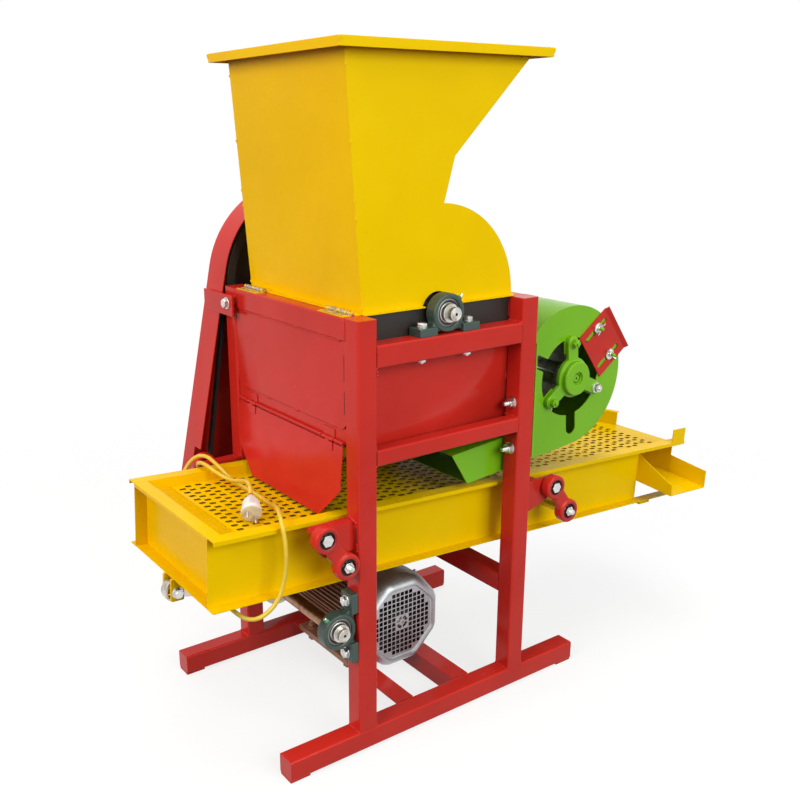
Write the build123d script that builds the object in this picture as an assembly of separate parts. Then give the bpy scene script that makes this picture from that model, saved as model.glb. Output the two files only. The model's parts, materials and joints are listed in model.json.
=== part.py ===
from build123d import *
import os
from math import acos, atan2, cos, degrees, hypot, pi, radians, sin, sqrt, tan

os.makedirs("parts", exist_ok=True)

# Frame sizes, in millimetres. X runs along the tray, Z is up, the belts are on the +Y side.
frame_length = 416.0
frame_width = 473.0
frame_height = 825.0
tube = 40.0
small_tube = 30.0
tube_wall = 2.5
tube_round = 4.0
foot_length = 718.0
pad_thick = 4.0
pad_length = 42.0
cap_thick = 3.0
sheet = 2.0
panel_thick = 2.5
rail_drop = 45.0
mid_rail_drop = 231.0
front_rail_drop = 195.0
lower_rail_z = 208.0
angle_size = 40.0
angle_thick = 4.0
angle_spacing = 144.0

# Rotor, its bearings and its drum
rotor_x = -5.0
shaft_r = 12.5
bearing_height = 36.5
housing_length = 140.0
housing_width = 38.0
housing_r = 35.5
housing_bolts = 105.0
insert_r = 26.0
rotor_r = 142.0
bar_count = 6
bar_width = 24.0
bar_seat = 126.0
grate_r = 163.0
grate_rod_r = 4.0
grate_rods = 27

# Hopper
hopper_height = 437.7
hopper_seat = 1.0
hopper_lean = 32.3
hopper_mouth_x = 214.9
throat_x = 30.0
throat_z = 257.7
drum_seat = 7.7
base_flange = 12.0
rim_front_reach = 26.7
rim_back_reach = 16.1
rim_side = 28.5
rim_drop = 16.0
hinge_length = 76.0
hinge_y = 148.0

# Flap under the front rail
flap_drop = 224.0
flap_gap = 7.5
flap_taper = 64.0
flap_bottom_z = 451.0
flap_corner_z = 514.0
flap_rest_deg = 5.2

# Sieve tray, drawn level and then tilted about the top of its front edge
tray_z = 479.0
tray_length = 1236.0
tray_overhang = 252.0
tray_slope = 3.0
tray_height = 131.0
tray_gap = 14.5
tray_flange = 25.0
tray_lip = 8.0
end_recess = 24.0
ramp_length = 60.0
deck_drop = 20.0
deck_extra = 26.0
pan_drop = 84.0
slot_length = 14.0
slot_width = 4.6
slot_columns = 24
slot_rows = 12
slot_pitch_y = 21.5
spout_from_end = 131.0
spout_width = 124.0
spout_reach = 98.0

# Swing links
link_span = 555.0
link_offset_x = -69.0
link_drop = 23.0
link_dx = 42.5
link_dz = -61.5
link_thick = 22.0
link_eye_r = 25.0
bush_r = 18.0
bolt_r = 8.0
link_gap = 1.0

# Countershaft, eccentric and rod
counter_z = 264.0
throw = 3.0
eccentric_r = 26.0
rod_end_r = 14.5
ear_bolt_r = 6.0

# Fan
fan_r = 148.0
fan_drop = 105.0
fan_gap = 6.0
fan_inlet_r = 82.0
fan_slot_width = 27.0
fan_slot_end_r = 125.5
spider_arm_r = 74.0
spider_disc_r = 42.0
spider_turn = 5.0
fan_shaft_r = 10.0
duct_slope = 5.2
duct_reach = 167.0
duct_height = 40.0
duct_lip_reach = 126.0
impeller_r = 120.0
shutter_travel = 30.0
shutter_slot_end = 6.0
shutter_slot_back = 25.0

# Motor
motor_height = 100.0
motor_gap = 8.5
motor_length = 325.0
cowl_r = 103.0
cowl_length = 70.0
motor_shaft_r = 14.0
foot_bolts_x = 160.0

# Belt drives: pitch radii and the two belt planes
belt_plane_gap = 28.5
belt_plane_step = 20.0
rotor_pitch_r = 185.0
counter_small_r = 33.0
counter_large_r = 60.0
motor_pitch_r = 45.0
fan_pitch_r = 40.0
belt_top = 3.0
belt_depth = 8.0
belt_half = 6.5
groove_gap = 0.4
guard_gap = 3.5
guard_depth = 72.0
guard_room = 22.0

# Clearances
fit = 0.05
run = 0.06
seat = 0.3

# Supply cord
cord_r = 4.0
cord_points = [
    (-72, 150, 262),
    (-132, 150, 262),
    (-190, 130, 288),
    (-248, 92, 314),
    (-306, 46, 328),
    (-360, -10, 332),
    (-402, -76, 334),
    (-420, -140, 330),
    (-398, -188, 314),
    (-356, -200, 340),
    (-337, -200, 392),
    (-335, -202, 446),
    (-337, -191, 490),
    (-318, -147, 494),
    (-294, -98, 476),
    (-275, -46, 457),
    (-266, 10, 453),
    (-269, 60, 453.5),
    (-281, 104, 463),
    (-288, 140, 481),
    (-296, 182, 496),
    (-314, 210, 484),
    (-338, 216, 444),
    (-356, 213, 392),
    (-326, 208, 368),
    (-294, 205, 384),
    (-293, 206, 422),
    (-301, 206, 455),
    (-312, 190, 480),
    (-311, 158, 487),
    (-300, 122, 473),
    (-288, 78, 460),
    (-290, 28, 480),
    (-300.4, -13.8, 497),
    (-313, -38, 489.4),
]
plug_length = 66.0
plug_r = 19.0
pin_length = 19.0
pin_spacing = 19.0

# Values that follow from the sizes above
half_x = frame_length / 2
half_y = frame_width / 2
in_x = half_x - tube
in_y = half_y - tube
post_x = half_x - tube / 2
post_y = half_y - tube / 2
foot_top = pad_thick + tube
rail_top = frame_height - rail_drop
rotor_z = rail_top + bearing_height
counter_x = -half_x - bearing_height
motor_x = 0.0
motor_z = foot_top + motor_height
hopper_z = frame_height + seat
hopper_half = in_y - 3.0
hopper_foot_x = -in_x - hopper_seat
drum_r = in_x + drum_seat
rim_front = hopper_lean - hopper_foot_x + rim_front_reach
rim_back = hopper_mouth_x + rim_back_reach
flap_half = in_y - flap_gap
flap_tip_half = flap_half - flap_taper
tray_half = in_y - tray_gap - tray_flange
spout_start = tray_length - spout_from_end
spout_end = spout_start + spout_width
link_top_z = tray_z - link_drop
mid_top = frame_height - mid_rail_drop
fan_x = half_x + fan_r
fan_bottom_z = mid_top - fan_drop
fan_z = fan_bottom_z + fan_r
fan_half = in_y - fan_gap
fan_bolt_rows = (mid_top + 26, mid_top - 66)
duct_end_x = half_x - duct_reach
duct_lip_x = half_x - duct_lip_reach
duct_end_z = fan_bottom_z + duct_height
motor_end_y = half_y - motor_gap
motor_face_y = motor_end_y - motor_length
motor_foot_rows = (motor_end_y - 233, motor_end_y - 93)
terminal_y = motor_end_y - 78
plane_main = half_y + belt_plane_gap
plane_second = plane_main + belt_plane_step
guard_front_y = half_y + guard_gap
guard_back_y = guard_front_y + guard_depth
guard_r = rotor_pitch_r + guard_room
shaft_near_y = -post_y - 31.0
shaft_far_y = plane_second + 12.0
tray_x = -half_x - tray_overhang


# Drawing helpers
def block(x0, x1, y0, y1, z0, z1):
    return Pos((x0 + x1) / 2, (y0 + y1) / 2, (z0 + z1) / 2) * Box(x1 - x0, y1 - y0, z1 - z0)


def round_x(y, z, radius, x0, x1):
    return Pos((x0 + x1) / 2, y, z) * Rot(0, 90, 0) * Cylinder(radius, x1 - x0)


def round_y(x, z, radius, y0, y1):
    return Pos(x, (y0 + y1) / 2, z) * Rot(90, 0, 0) * Cylinder(radius, y1 - y0)


def round_z(x, y, radius, z0, z1):
    return Pos(x, y, (z0 + z1) / 2) * Cylinder(radius, z1 - z0)


def ring_y(x, z, outer, inner, y0, y1):
    return round_y(x, z, outer, y0, y1) - round_y(x, z, inner, y0 - 1, y1 + 1)


def hex_x(y, z, flats, x0, x1):
    head = extrude(RegularPolygon(flats / 2, 6, major_radius=False), x1 - x0)
    return Pos(x0, y, z) * Rot(0, 90, 0) * head


def hex_y(x, z, flats, y0, y1):
    head = extrude(RegularPolygon(flats / 2, 6, major_radius=False), y1 - y0)
    return Pos(x, y0, z) * Rot(-90, 0, 0) * head


def hex_z(x, y, flats, z0, z1):
    head = extrude(RegularPolygon(flats / 2, 6, major_radius=False), z1 - z0)
    return Pos(x, y, z0) * head


def outline(*points):
    return make_face(Polyline(*points, close=True))


def plate_y(face, y0, y1):
    return extrude(Plane.XZ.offset(-y1) * face, y1 - y0)


def plate_x(face, x0, x1):
    return extrude(Plane.YZ.offset(x0) * face, x1 - x0)


def fold(points, thick):
    # Closed outline of a folded sheet: the points are one side, the sheet lies to their left.
    other = []
    count = len(points)
    for i in range(count):
        a = points[max(i - 1, 0)]
        b = points[i]
        c = points[min(i + 1, count - 1)]
        first = atan2(b[1] - a[1], b[0] - a[0]) if i > 0 else atan2(c[1] - b[1], c[0] - b[0])
        last = atan2(c[1] - b[1], c[0] - b[0]) if i < count - 1 else first
        half = (last - first) / 2
        middle = first + half + pi / 2
        reach = thick / cos(half)
        other.append((b[0] + reach * cos(middle), b[1] + reach * sin(middle)))
    return outline(*points, *reversed(other))


def tube_section(width, depth):
    inner = RectangleRounded(width - 2 * tube_wall, depth - 2 * tube_wall, tube_round - tube_wall)
    return RectangleRounded(width, depth, tube_round) - inner


def tube_x(y, z, x0, x1, size):
    return Pos(x0, y, z) * Rot(0, 90, 0) * extrude(tube_section(size, size), x1 - x0)


def tube_y(x, z, y0, y1, size):
    return Pos(x, y0, z) * Rot(-90, 0, 0) * extrude(tube_section(size, size), y1 - y0)


def tube_z(x, y, z0, z1, size):
    return Pos(x, y, z0) * extrude(tube_section(size, size), z1 - z0)


def both_sides(shape):
    return [shape, mirror(shape, about=Plane.XZ)]


def solids_of(shapes):
    found = []
    for shape in shapes:
        if isinstance(shape, (list, tuple)) and not hasattr(shape, "solids"):
            found.extend(solids_of(shape))
        else:
            found.extend(shape.solids())
    return found


nodes = {}


def save(node, *shapes):
    nodes[node] = solids_of(shapes)


def polar(x, z, radius, degree):
    return (x + radius * cos(radians(degree)), z + radius * sin(radians(degree)))


# Frame
posts = []
post_caps = []
for sx in (-1, 1):
    for sy in (-1, 1):
        post = tube_z(sx * post_x, sy * post_y, foot_top, frame_height - cap_thick, tube)
        if sx > 0:
            for z in fan_bolt_rows:
                post -= round_x(sy * post_y, z, 5.2, half_x - tube - 1, half_x + 1)
        else:
            for z in (counter_z - housing_bolts / 2, counter_z + housing_bolts / 2):
                post -= round_x(sy * post_y, z, 5.2, -half_x - 1, -half_x + tube_wall + 1)
        posts.append(post)
        cap = extrude(RectangleRounded(tube, tube, tube_round), cap_thick)
        post_caps.append(Pos(sx * post_x, sy * post_y, frame_height - cap_thick) * cap)
save("frame_posts", posts, post_caps)

feet = []
for sy in (-1, 1):
    end = foot_length / 2
    feet.append(tube_x(sy * post_y, pad_thick + tube / 2, -end + cap_thick, end - cap_thick, tube))
    for sx in (-1, 1):
        cap = extrude(RectangleRounded(tube, tube, tube_round), cap_thick)
        edge = -end if sx < 0 else end - cap_thick
        feet.append(Pos(edge, sy * post_y, pad_thick + tube / 2) * Rot(0, 90, 0) * cap)
        x0 = -end if sx < 0 else end - pad_length
        feet.append(block(x0, x0 + pad_length, sy * post_y - 18, sy * post_y + 18, 0, pad_thick))
save("foot_rails", feet)

front_top = frame_height - front_rail_drop
rails = []
for sy in (-1, 1):
    rails.append(tube_x(sy * post_y, rail_top - tube / 2, -in_x, in_x, tube))
    rails.append(tube_x(sy * (half_y - small_tube / 2), mid_top - small_tube / 2, -in_x, in_x, small_tube))
for sx in (-1, 1):
    rails.append(tube_y(sx * post_x, frame_height - tube / 2, -in_y, in_y, tube))
front_rail_x = -half_x + 5
panel_y = in_y - panel_thick
rails.append(tube_y(front_rail_x + small_tube / 2, front_top - small_tube / 2, -panel_y, panel_y, small_tube))
rails.append(tube_y(post_x, lower_rail_z + tube / 2, -in_y, in_y, tube))
save("frame_rails", rails)

angles = []
for sx in (-1, 1):
    a = angle_spacing / 2
    leg = outline(
        (a - 20, foot_top),
        (a - 20, foot_top - angle_size),
        (a - 20 + angle_thick, foot_top - angle_size),
        (a - 20 + angle_thick, foot_top - angle_thick),
        (a + 20, foot_top - angle_thick),
        (a + 20, foot_top),
    )
    bar = plate_y(leg, -in_y, in_y)
    if sx < 0:
        bar = mirror(bar, about=Plane.YZ)
    for y in motor_foot_rows:
        bar -= round_z(sx * foot_bolts_x / 2, y, 5.2, 0, foot_top + 1)
    angles.append(bar)
save("motor_rails", angles)

# Chamber sheets
panels = []
plates = []
panel_bottom = mid_top - small_tube
for sy in (-1, 1):
    y0, y1 = sorted((sy * panel_y, sy * in_y))
    panels.append(block(front_rail_x, half_x - 5, y0, y1, panel_bottom, rail_top - tube))
    dark = block(-in_x, in_x, y0, y1, rail_top - tube, frame_height - 1)
    notch = block(rotor_x - 20, rotor_x + 20, y0 - 1, y1 + 1, rotor_z, frame_height)
    plates.append(dark - notch - round_y(rotor_x, rotor_z, 20, y0 - 1, y1 + 1))
front_low = front_top - 4
round_corner = 20.0
front_high = frame_height - tube
front_face = outline((-in_y, front_low), (in_y, front_low), (in_y, front_high), (-in_y, front_high))
front_sheet = plate_x(front_face, front_rail_x - sheet, front_rail_x)
front_sheet = fillet(front_sheet.edges().filter_by(Axis.X).group_by(Axis.Z)[0], round_corner)
panels.append(front_sheet)
panels.append(block(half_x - 5, half_x - 3, -in_y, in_y, panel_bottom, frame_height - tube))
save("chamber_panels", panels)
save("chamber_plates", plates)

# Concave grate below the rotor
grate = None
for y0 in (-panel_y, -2.5, panel_y - 5):
    arc_face = Pos(rotor_x, rotor_z) * (Circle(grate_r + 6) - Circle(grate_r - 1))
    keep = outline(
        (rotor_x, rotor_z),
        polar(rotor_x, rotor_z, 400, 198),
        polar(rotor_x, rotor_z, 400, 270),
        polar(rotor_x, rotor_z, 400, 342),
    )
    strip = plate_y(arc_face & keep, y0, y0 + 5)
    grate = strip if grate is None else grate + strip
for i in range(grate_rods):
    x, z = polar(rotor_x, rotor_z, grate_r + 2, 200 + 140 * i / (grate_rods - 1))
    grate += round_y(x, z, grate_rod_r, -panel_y + 1, panel_y - 1)
save("concave_grate", grate)


# Pillow blocks: base on z = 0, shaft along Y
def pillow_housing():
    base = block(-housing_length / 2, housing_length / 2, -housing_width / 2, housing_width / 2, 0, 14)
    base = fillet(base.edges().filter_by(Axis.Z), 12)
    neck = outline(
        (-41, 0),
        (41, 0),
        (41, 15),
        (33, 24),
        (33, bearing_height),
        (-33, bearing_height),
        (-33, 24),
        (-41, 15),
    )
    body = base + plate_y(neck, -14, 14)
    body += round_y(0, bearing_height, housing_r, -17, 17)
    body -= round_y(0, bearing_height, insert_r, -30, 30)
    for sx in (-1, 1):
        body -= round_z(sx * housing_bolts / 2, 0, 6.0, -1, 40)
    return body


def pillow_insert():
    return ring_y(0, bearing_height, insert_r - fit, 19.0, -8.5, 8.5)


def grease_nipple():
    stem = Pos(0, 0, bearing_height) * Rot(0, 35, 0) * round_z(0, 0, 3.2, housing_r - 0.2, housing_r + 6)
    top = Pos(0, 0, bearing_height) * Rot(0, 35, 0) * round_z(0, 0, 4.4, housing_r + 6, housing_r + 11)
    return stem + top - round_y(0, bearing_height, housing_r, -17, 17)


def shaft_collar(x, z, y):
    inner = ring_y(x, z, 18.4, shaft_r + fit, y - 8.5, y + 8.5)
    sleeve = ring_y(x, z, 17.0, shaft_r + fit, y - 17, y + 17)
    return inner + sleeve


top_places = [Pos(rotor_x, sy * post_y, rail_top) for sy in (-1, 1)]
side_places = [Pos(-half_x, sy * post_y, counter_z) * Rot(0, -90, 0) for sy in (-1, 1)]
block_places = top_places + side_places
nipples = [p * grease_nipple() for p in block_places]
save("pillow_housings", [p * pillow_housing() for p in block_places], nipples)
save("bearing_inserts", [p * pillow_insert() for p in block_places])

bolts = []
for p in block_places:
    for sx in (-1, 1):
        upper = round_z(0, 0, 5.0, 0.1, 27) + hex_z(0, 0, 17, 14, 23)
        bolts.append(p * Pos(sx * housing_bolts / 2, 0, 0) * upper)

# Rotor
discs = []
disc_y = panel_y - 44
for y in (-disc_y, 0, disc_y):
    disc = round_y(rotor_x, rotor_z, bar_seat + 6, y - 4, y + 4)
    disc += round_y(rotor_x, rotor_z, 28, y - 16, y + 16)
    for i in range(bar_count):
        notch = Pos(rotor_x, y, rotor_z) * Rot(0, 360 * i / bar_count, 0) * Pos(0, 0, bar_seat + 20)
        disc -= notch * Box(bar_width + 1, 40, 40)
    disc -= round_y(rotor_x, rotor_z, shaft_r + fit, y - 30, y + 30)
    for i in range(bar_count):
        x, z = polar(rotor_x, rotor_z, 80, 60 + 360 * i / bar_count)
        disc -= round_y(x, z, 18, y - 30, y + 30)
    discs.append(disc)
save("rotor_discs", discs)
bars = []
for i in range(bar_count):
    turn = Pos(rotor_x, 0, rotor_z) * Rot(0, 360 * i / bar_count, 0)
    thick = rotor_r - bar_seat
    bars.append(turn * Pos(0, 0, bar_seat + thick / 2) * Box(bar_width, 2 * panel_y - 16, thick))
save("rotor_bars", bars)
rotor_rod = round_y(rotor_x, rotor_z, shaft_r, shaft_near_y, shaft_far_y)
save("rotor_shaft", rotor_rod, [shaft_collar(rotor_x, rotor_z, sy * post_y) for sy in (-1, 1)])


# Pulleys and belts
def groove(radius, y):
    top = radius + belt_top
    low = radius + belt_top - belt_depth
    wide = belt_half + groove_gap
    slim = belt_half - 2.5 + groove_gap
    return outline(
        (low - 3, y - slim + 0.8),
        (low - 3, y + slim - 0.8),
        (low, y + slim),
        (top + 1, y + wide + 0.3),
        (top + 1, y - wide - 0.3),
        (low, y - slim),
    )


def pulley(x, z, steps, bore):
    # Each step is (pitch radius, belt plane).
    body = None
    for radius, y in steps:
        wheel = round_y(0, 0, radius + belt_top, y - 10, y + 10)
        body = wheel if body is None else body + wheel
    for radius, y in steps:
        body -= revolve(Plane.XY * groove(radius, y), Axis.Y)
    body -= round_y(0, 0, bore + fit, 0, 400)
    return Pos(x, 0, z) * body


def big_pulley():
    y0 = plane_main - 10
    y1 = plane_second + 10
    body = round_y(0, 0, rotor_pitch_r + belt_top, y0, y1)
    body -= round_y(0, 0, rotor_pitch_r - 16, y0 - 1, y1 + 1)
    middle = (y0 + y1) / 2
    body += round_y(0, 0, rotor_pitch_r - 15.5, middle - 5, middle + 5)
    body += round_y(0, 0, 34, y0, y1)
    for radius, y in ((rotor_pitch_r, plane_main), (rotor_pitch_r, plane_second)):
        body -= revolve(Plane.XY * groove(radius, y), Axis.Y)
    for i in range(6):
        x, z = polar(0, 0, 112, 60 * i + 15)
        body -= round_y(x, z, 38, y0 - 1, y1 + 1)
    body -= round_y(0, 0, shaft_r + fit, 0, 400)
    return Pos(rotor_x, 0, rotor_z) * body


def belt(a, b, y):
    # a and b are (x, z, pitch radius); arcs on the two pulleys joined by two straight runs.
    ax, az, ar = a
    bx, bz, br = b
    apart = hypot(bx - ax, bz - az)
    aim = atan2(bz - az, bx - ax)
    spread = acos((ar - br) / apart)
    run_length = sqrt(apart ** 2 - (ar - br) ** 2)
    slim = belt_half - 2.5

    def section(x, z, radius, angle):
        top = radius + belt_top
        low = top - belt_depth
        side = Vector(cos(angle), 0, sin(angle))
        plane = Plane(origin=(x, y, z), x_dir=side, z_dir=side.cross(Vector(0, 1, 0)))
        return plane * outline((low, -slim), (top, -belt_half), (top, belt_half), (low, slim))

    high = aim + spread
    low = aim - spread
    arc_a = revolve(section(ax, az, ar, high), Axis((ax, 0, az), (0, -1, 0)), 360 - degrees(2 * spread))
    arc_b = revolve(section(bx, bz, br, low), Axis((bx, 0, bz), (0, -1, 0)), degrees(2 * spread))
    out = extrude(section(ax, az, ar, low), run_length)
    back = extrude(section(ax, az, ar, high), -run_length)
    return arc_a + out + arc_b + back


save("rotor_pulley", big_pulley())
counter_steps = [(counter_small_r, plane_main), (counter_large_r, plane_second)]
save("countershaft_pulley", pulley(counter_x, counter_z, counter_steps, shaft_r))
save("motor_pulley", pulley(motor_x, motor_z, [(motor_pitch_r, plane_second)], motor_shaft_r))
save("fan_pulley", pulley(fan_x, fan_z, [(fan_pitch_r, plane_second)], fan_shaft_r))
rotor_circle = (rotor_x, rotor_z, rotor_pitch_r)
motor_circle = (motor_x, motor_z, motor_pitch_r)
fan_circle = (fan_x, fan_z, fan_pitch_r)
save("main_belt", belt(rotor_circle, (counter_x, counter_z, counter_small_r), plane_main))
save("motor_belt", belt(motor_circle, (counter_x, counter_z, counter_large_r), plane_second))
save("fan_belt", belt(rotor_circle, fan_circle, plane_second))


# Belt guard: a shallow box around the three pulleys
def wrap(circles):
    # Outline around circles given counterclockwise as (x, z, radius).
    count = len(circles)
    normals = []
    for i in range(count):
        x1, z1, r1 = circles[i]
        x2, z2, r2 = circles[(i + 1) % count]
        normals.append(atan2(z2 - z1, x2 - x1) - acos((r1 - r2) / hypot(x2 - x1, z2 - z1)))
    edges = []
    for i in range(count):
        x, z, r = circles[i]
        start = normals[i - 1]
        sweep = (normals[i] - start) % (2 * pi)
        ends = []
        for part in (0, 0.5, 1):
            angle = start + part * sweep
            ends.append((x + r * cos(angle), z + r * sin(angle)))
        edges.append(ThreePointArc(*ends))
        x2, z2, r2 = circles[(i + 1) % count]
        tip = (x2 + r2 * cos(normals[i]), z2 + r2 * sin(normals[i]))
        edges.append(Line(ends[2], tip))
    return make_face(edges)


rings = [
    (0, rotor_z, guard_r),
    (counter_x, counter_z, counter_large_r + 20),
    (motor_x, motor_z, motor_pitch_r + 17),
]
thin = [(x, z, r - sheet) for x, z, r in rings]
guard = plate_y(wrap(rings), guard_front_y, guard_back_y)
guard -= plate_y(wrap(thin), guard_front_y - 1, guard_back_y - sheet)
guard -= block(60, 300, plane_second - 14, plane_second + 14, fan_z - fan_pitch_r - 30, rotor_z + 150)
link_room_z = (link_top_z - 110, link_top_z + 31)
guard -= block(counter_x - 120, -half_x + 30, guard_front_y - 1, half_y + 30, *link_room_z)
strap_z = rotor_z - 25
for sx in (-1, 1):
    x0, x1 = sorted((sx * (half_x + 10), sx * (half_x + 14)))
    guard += block(x0, x1, in_y + 4, guard_back_y - 8, strap_z - 21, strap_z + 21)
    w0, w1 = sorted((sx * (guard_r - 4), x1 if sx > 0 else x0))
    guard += block(w0, w1, guard_front_y + 8, guard_front_y + 12, strap_z - 21, strap_z + 21)
    guard -= round_x(post_y + 10, strap_z, 5.2, x0 - 1, x1 + 1)
stay_y = guard_front_y + 36
guard += block(40, 62, post_y - 10, stay_y, foot_top, foot_top + 4)
guard += block(40, 62, stay_y - 6, stay_y, foot_top, motor_z - 42)
spacers = []
for sx in (-1, 1):
    x0, x1 = sorted((sx * half_x, sx * (half_x + 10)))
    tab = block(x0, x1, in_y + 8, half_y, strap_z - 17, strap_z + 17)
    spacers.append(tab - round_x(post_y + 10, strap_z, 5.2, x0 - 1, x1 + 1))
    head0, head1 = sorted((sx * (half_x + 14), sx * (half_x + 21)))
    shank0, shank1 = sorted((sx * (half_x + 0.2), sx * (half_x + 15)))
    strap_bolt = hex_x(post_y + 10, strap_z, 17, head0, head1)
    strap_bolt += round_x(post_y + 10, strap_z, 5, shank0, shank1)
    bolts.append(strap_bolt)
save("belt_guard", guard, spacers)

# Hopper
side_points = [
    (hopper_foot_x, 0),
    (hopper_foot_x - hopper_lean, hopper_height),
    (hopper_mouth_x, hopper_height),
    (throat_x, throat_z),
]
arc_z = 2.7
throat_arc = sqrt(drum_r ** 2 - 7.0 ** 2)
lines = [
    Line((drum_r, 0), side_points[0]),
    Line(side_points[0], side_points[1]),
    Line(side_points[1], side_points[2]),
    Line(side_points[2], side_points[3]),
    Line(side_points[3], (7.0, arc_z + throat_arc)),
    ThreePointArc((7.0, arc_z + throat_arc), polar(0, arc_z, drum_r, 45), (drum_r, arc_z)),
    Line((drum_r, arc_z), (drum_r, 0)),
]
side_face = make_face(lines)
place_h = Pos(0, 0, hopper_z)
near_side = plate_y(side_face, -hopper_half, -hopper_half + sheet)
near_side += block(hopper_foot_x, drum_r, -hopper_half - 10, -hopper_half + sheet, 0, sheet)
near_side -= block(rotor_x - 41, rotor_x + 41, -hopper_half - 11, -hopper_half, -1, 5)
near_side = place_h * near_side
near_side -= round_y(rotor_x, rotor_z, 38, -hopper_half - 1, -hopper_half + sheet + 1)
save("hopper_side_plates", both_sides(near_side))
inner = hopper_half - sheet
front_line = [(hopper_foot_x - hopper_lean, hopper_height), (hopper_foot_x, 0)]
front_plate = plate_y(fold(front_line, sheet), -inner, inner)
front_plate += block(hopper_foot_x - base_flange, hopper_foot_x + 1, -inner, inner, 0, sheet)
front_plate -= block(-400, 400, -300, 300, -20, 0)
front_plate -= block(-400, 400, -300, 300, hopper_height, hopper_height + 20)
save("hopper_front_plate", place_h * front_plate)
back_line = [(7.0, arc_z + throat_arc), (throat_x, throat_z), (hopper_mouth_x, hopper_height)]
back_plate = plate_y(fold(back_line, sheet), -inner, inner)
back_plate -= block(-400, 400, -300, 300, hopper_height, hopper_height + 20)
back_plate -= round_y(0, arc_z, drum_r, -inner - 1, inner + 1)
save("hopper_back_plate", place_h * back_plate)
drum_face = Pos(0, arc_z) * (Circle(drum_r) - Circle(drum_r - sheet))
drum_keep = outline((0, arc_z), (300, arc_z), (300, 300), (7.0 * 300 / throat_arc, arc_z + 300))
drum = plate_y(drum_face & drum_keep, -inner, inner)
drum += block(drum_r - sheet, drum_r, -inner, inner, 0, arc_z)
drum += block(drum_r - sheet, drum_r + 14, -inner, inner, 0, sheet)
save("drum_cover", place_h * drum)
rim_y = hopper_half + rim_side
rim = block(-rim_front, rim_back, -rim_y, rim_y, hopper_height + sheet - rim_drop, hopper_height + sheet)
rim -= block(-rim_front + sheet, rim_back - sheet, -rim_y + sheet, rim_y - sheet, 0, hopper_height)
mouth_front = hopper_foot_x - hopper_lean + sheet
rim -= block(mouth_front, hopper_mouth_x - sheet * 1.5, -inner, inner, 0, hopper_height + 10)
save("hopper_rim", place_h * rim)

# Hopper hinges: axis along Y in front of the hopper's foot
hinge_x = hopper_foot_x - base_flange - 5
hinge_z = frame_height + 4.3
fixed_hinges = []
moving_hinges = []
third = hinge_length / 3
for sy in (-1, 1):
    y0 = sy * hinge_y - hinge_length / 2
    y1 = y0 + hinge_length
    fixed = block(hinge_x - 20, hinge_x - 1, y0, y1, frame_height, frame_height + 2)
    moving = block(hinge_x + 4.6, hopper_foot_x - 1, y0, y1, hopper_z + sheet, hopper_z + 2 * sheet)
    for i in range(3):
        k0 = y0 + i * third + 0.2
        k1 = y0 + (i + 1) * third - 0.2
        knuckle = round_y(hinge_x, hinge_z, 4, k0, k1)
        if i == 1:
            arm = block(hinge_x, hinge_x + 5, k0, k1, hopper_z + sheet, hopper_z + 2 * sheet)
            moving += knuckle + arm
            moving -= round_y(hinge_x, hinge_z, 2 + run, k0 - 1, k1 + 1)
            gap = block(hinge_x - 30, hinge_x, k0 - 0.2, k1 + 0.2, frame_height, frame_height + 4)
            fixed -= gap & round_y(hinge_x, hinge_z, 4.6, k0 - 0.2, k1 + 0.2)
        else:
            arm = block(hinge_x - 2, hinge_x, k0, k1, frame_height, frame_height + 2)
            fixed += knuckle + arm
    fixed += round_y(hinge_x, hinge_z, 2, y0 + 1, y1 - 1)
    fixed_hinges.append(fixed)
    moving_hinges.append(moving)
save("hopper_hinges_moving", moving_hinges)

# Flap with two butt hinges, drawn hanging straight and then swung out to its resting angle
flap_x = front_rail_x - 4
flap_z = frame_height - flap_drop
flap_turn = Pos(flap_x, 0, flap_z) * Rot(0, flap_rest_deg, 0) * Pos(-flap_x, 0, -flap_z)
stretch = 1 / cos(radians(flap_rest_deg))
tip_z = flap_z - (flap_z - flap_bottom_z) * stretch
corner_z = flap_z - (flap_z - flap_corner_z) * stretch
flap_face = outline(
    (-flap_half, flap_z - 5),
    (-flap_half, corner_z),
    (-flap_tip_half, tip_z),
    (flap_tip_half, tip_z),
    (flap_half, corner_z),
    (flap_half, flap_z - 5),
)
save("flap_plate", flap_turn * plate_x(flap_face, flap_x - 1, flap_x + 1))
flap_moving = []
for sy in (-1, 1):
    y0 = sy * 140 - 18
    fixed = block(front_rail_x - 2, front_rail_x, y0, y0 + 36, flap_z + 4, flap_z + 19)
    moving = block(flap_x - 3, flap_x - 1, y0, y0 + 36, flap_z - 20, flap_z - 4.4)
    for i in range(3):
        k0 = y0 + 12 * i + 0.2
        k1 = y0 + 12 * i + 11.8
        knuckle = round_y(flap_x, flap_z, 3.5, k0, k1)
        if i == 1:
            moving += knuckle + block(flap_x - 3, flap_x - 1, k0, k1, flap_z - 5, flap_z)
            moving -= round_y(flap_x, flap_z, 1.6 + run, k0 - 1, k1 + 1)
        else:
            fixed += knuckle + block(flap_x + 2, front_rail_x, k0, k1, flap_z, flap_z + 5)
    fixed += round_y(flap_x, flap_z, 1.6, y0 + 1, y0 + 35)
    fixed_hinges.append(fixed)
    flap_moving.append(flap_turn * moving)
save("flap_hinges_moving", flap_moving)
save("fixed_hinges", fixed_hinges)

# Sieve tray, level, with the origin on the top of its front edge
tray_place = Pos(tray_x, 0, tray_z) * Rot(0, tray_slope, 0)
web = tray_half - sheet


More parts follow.
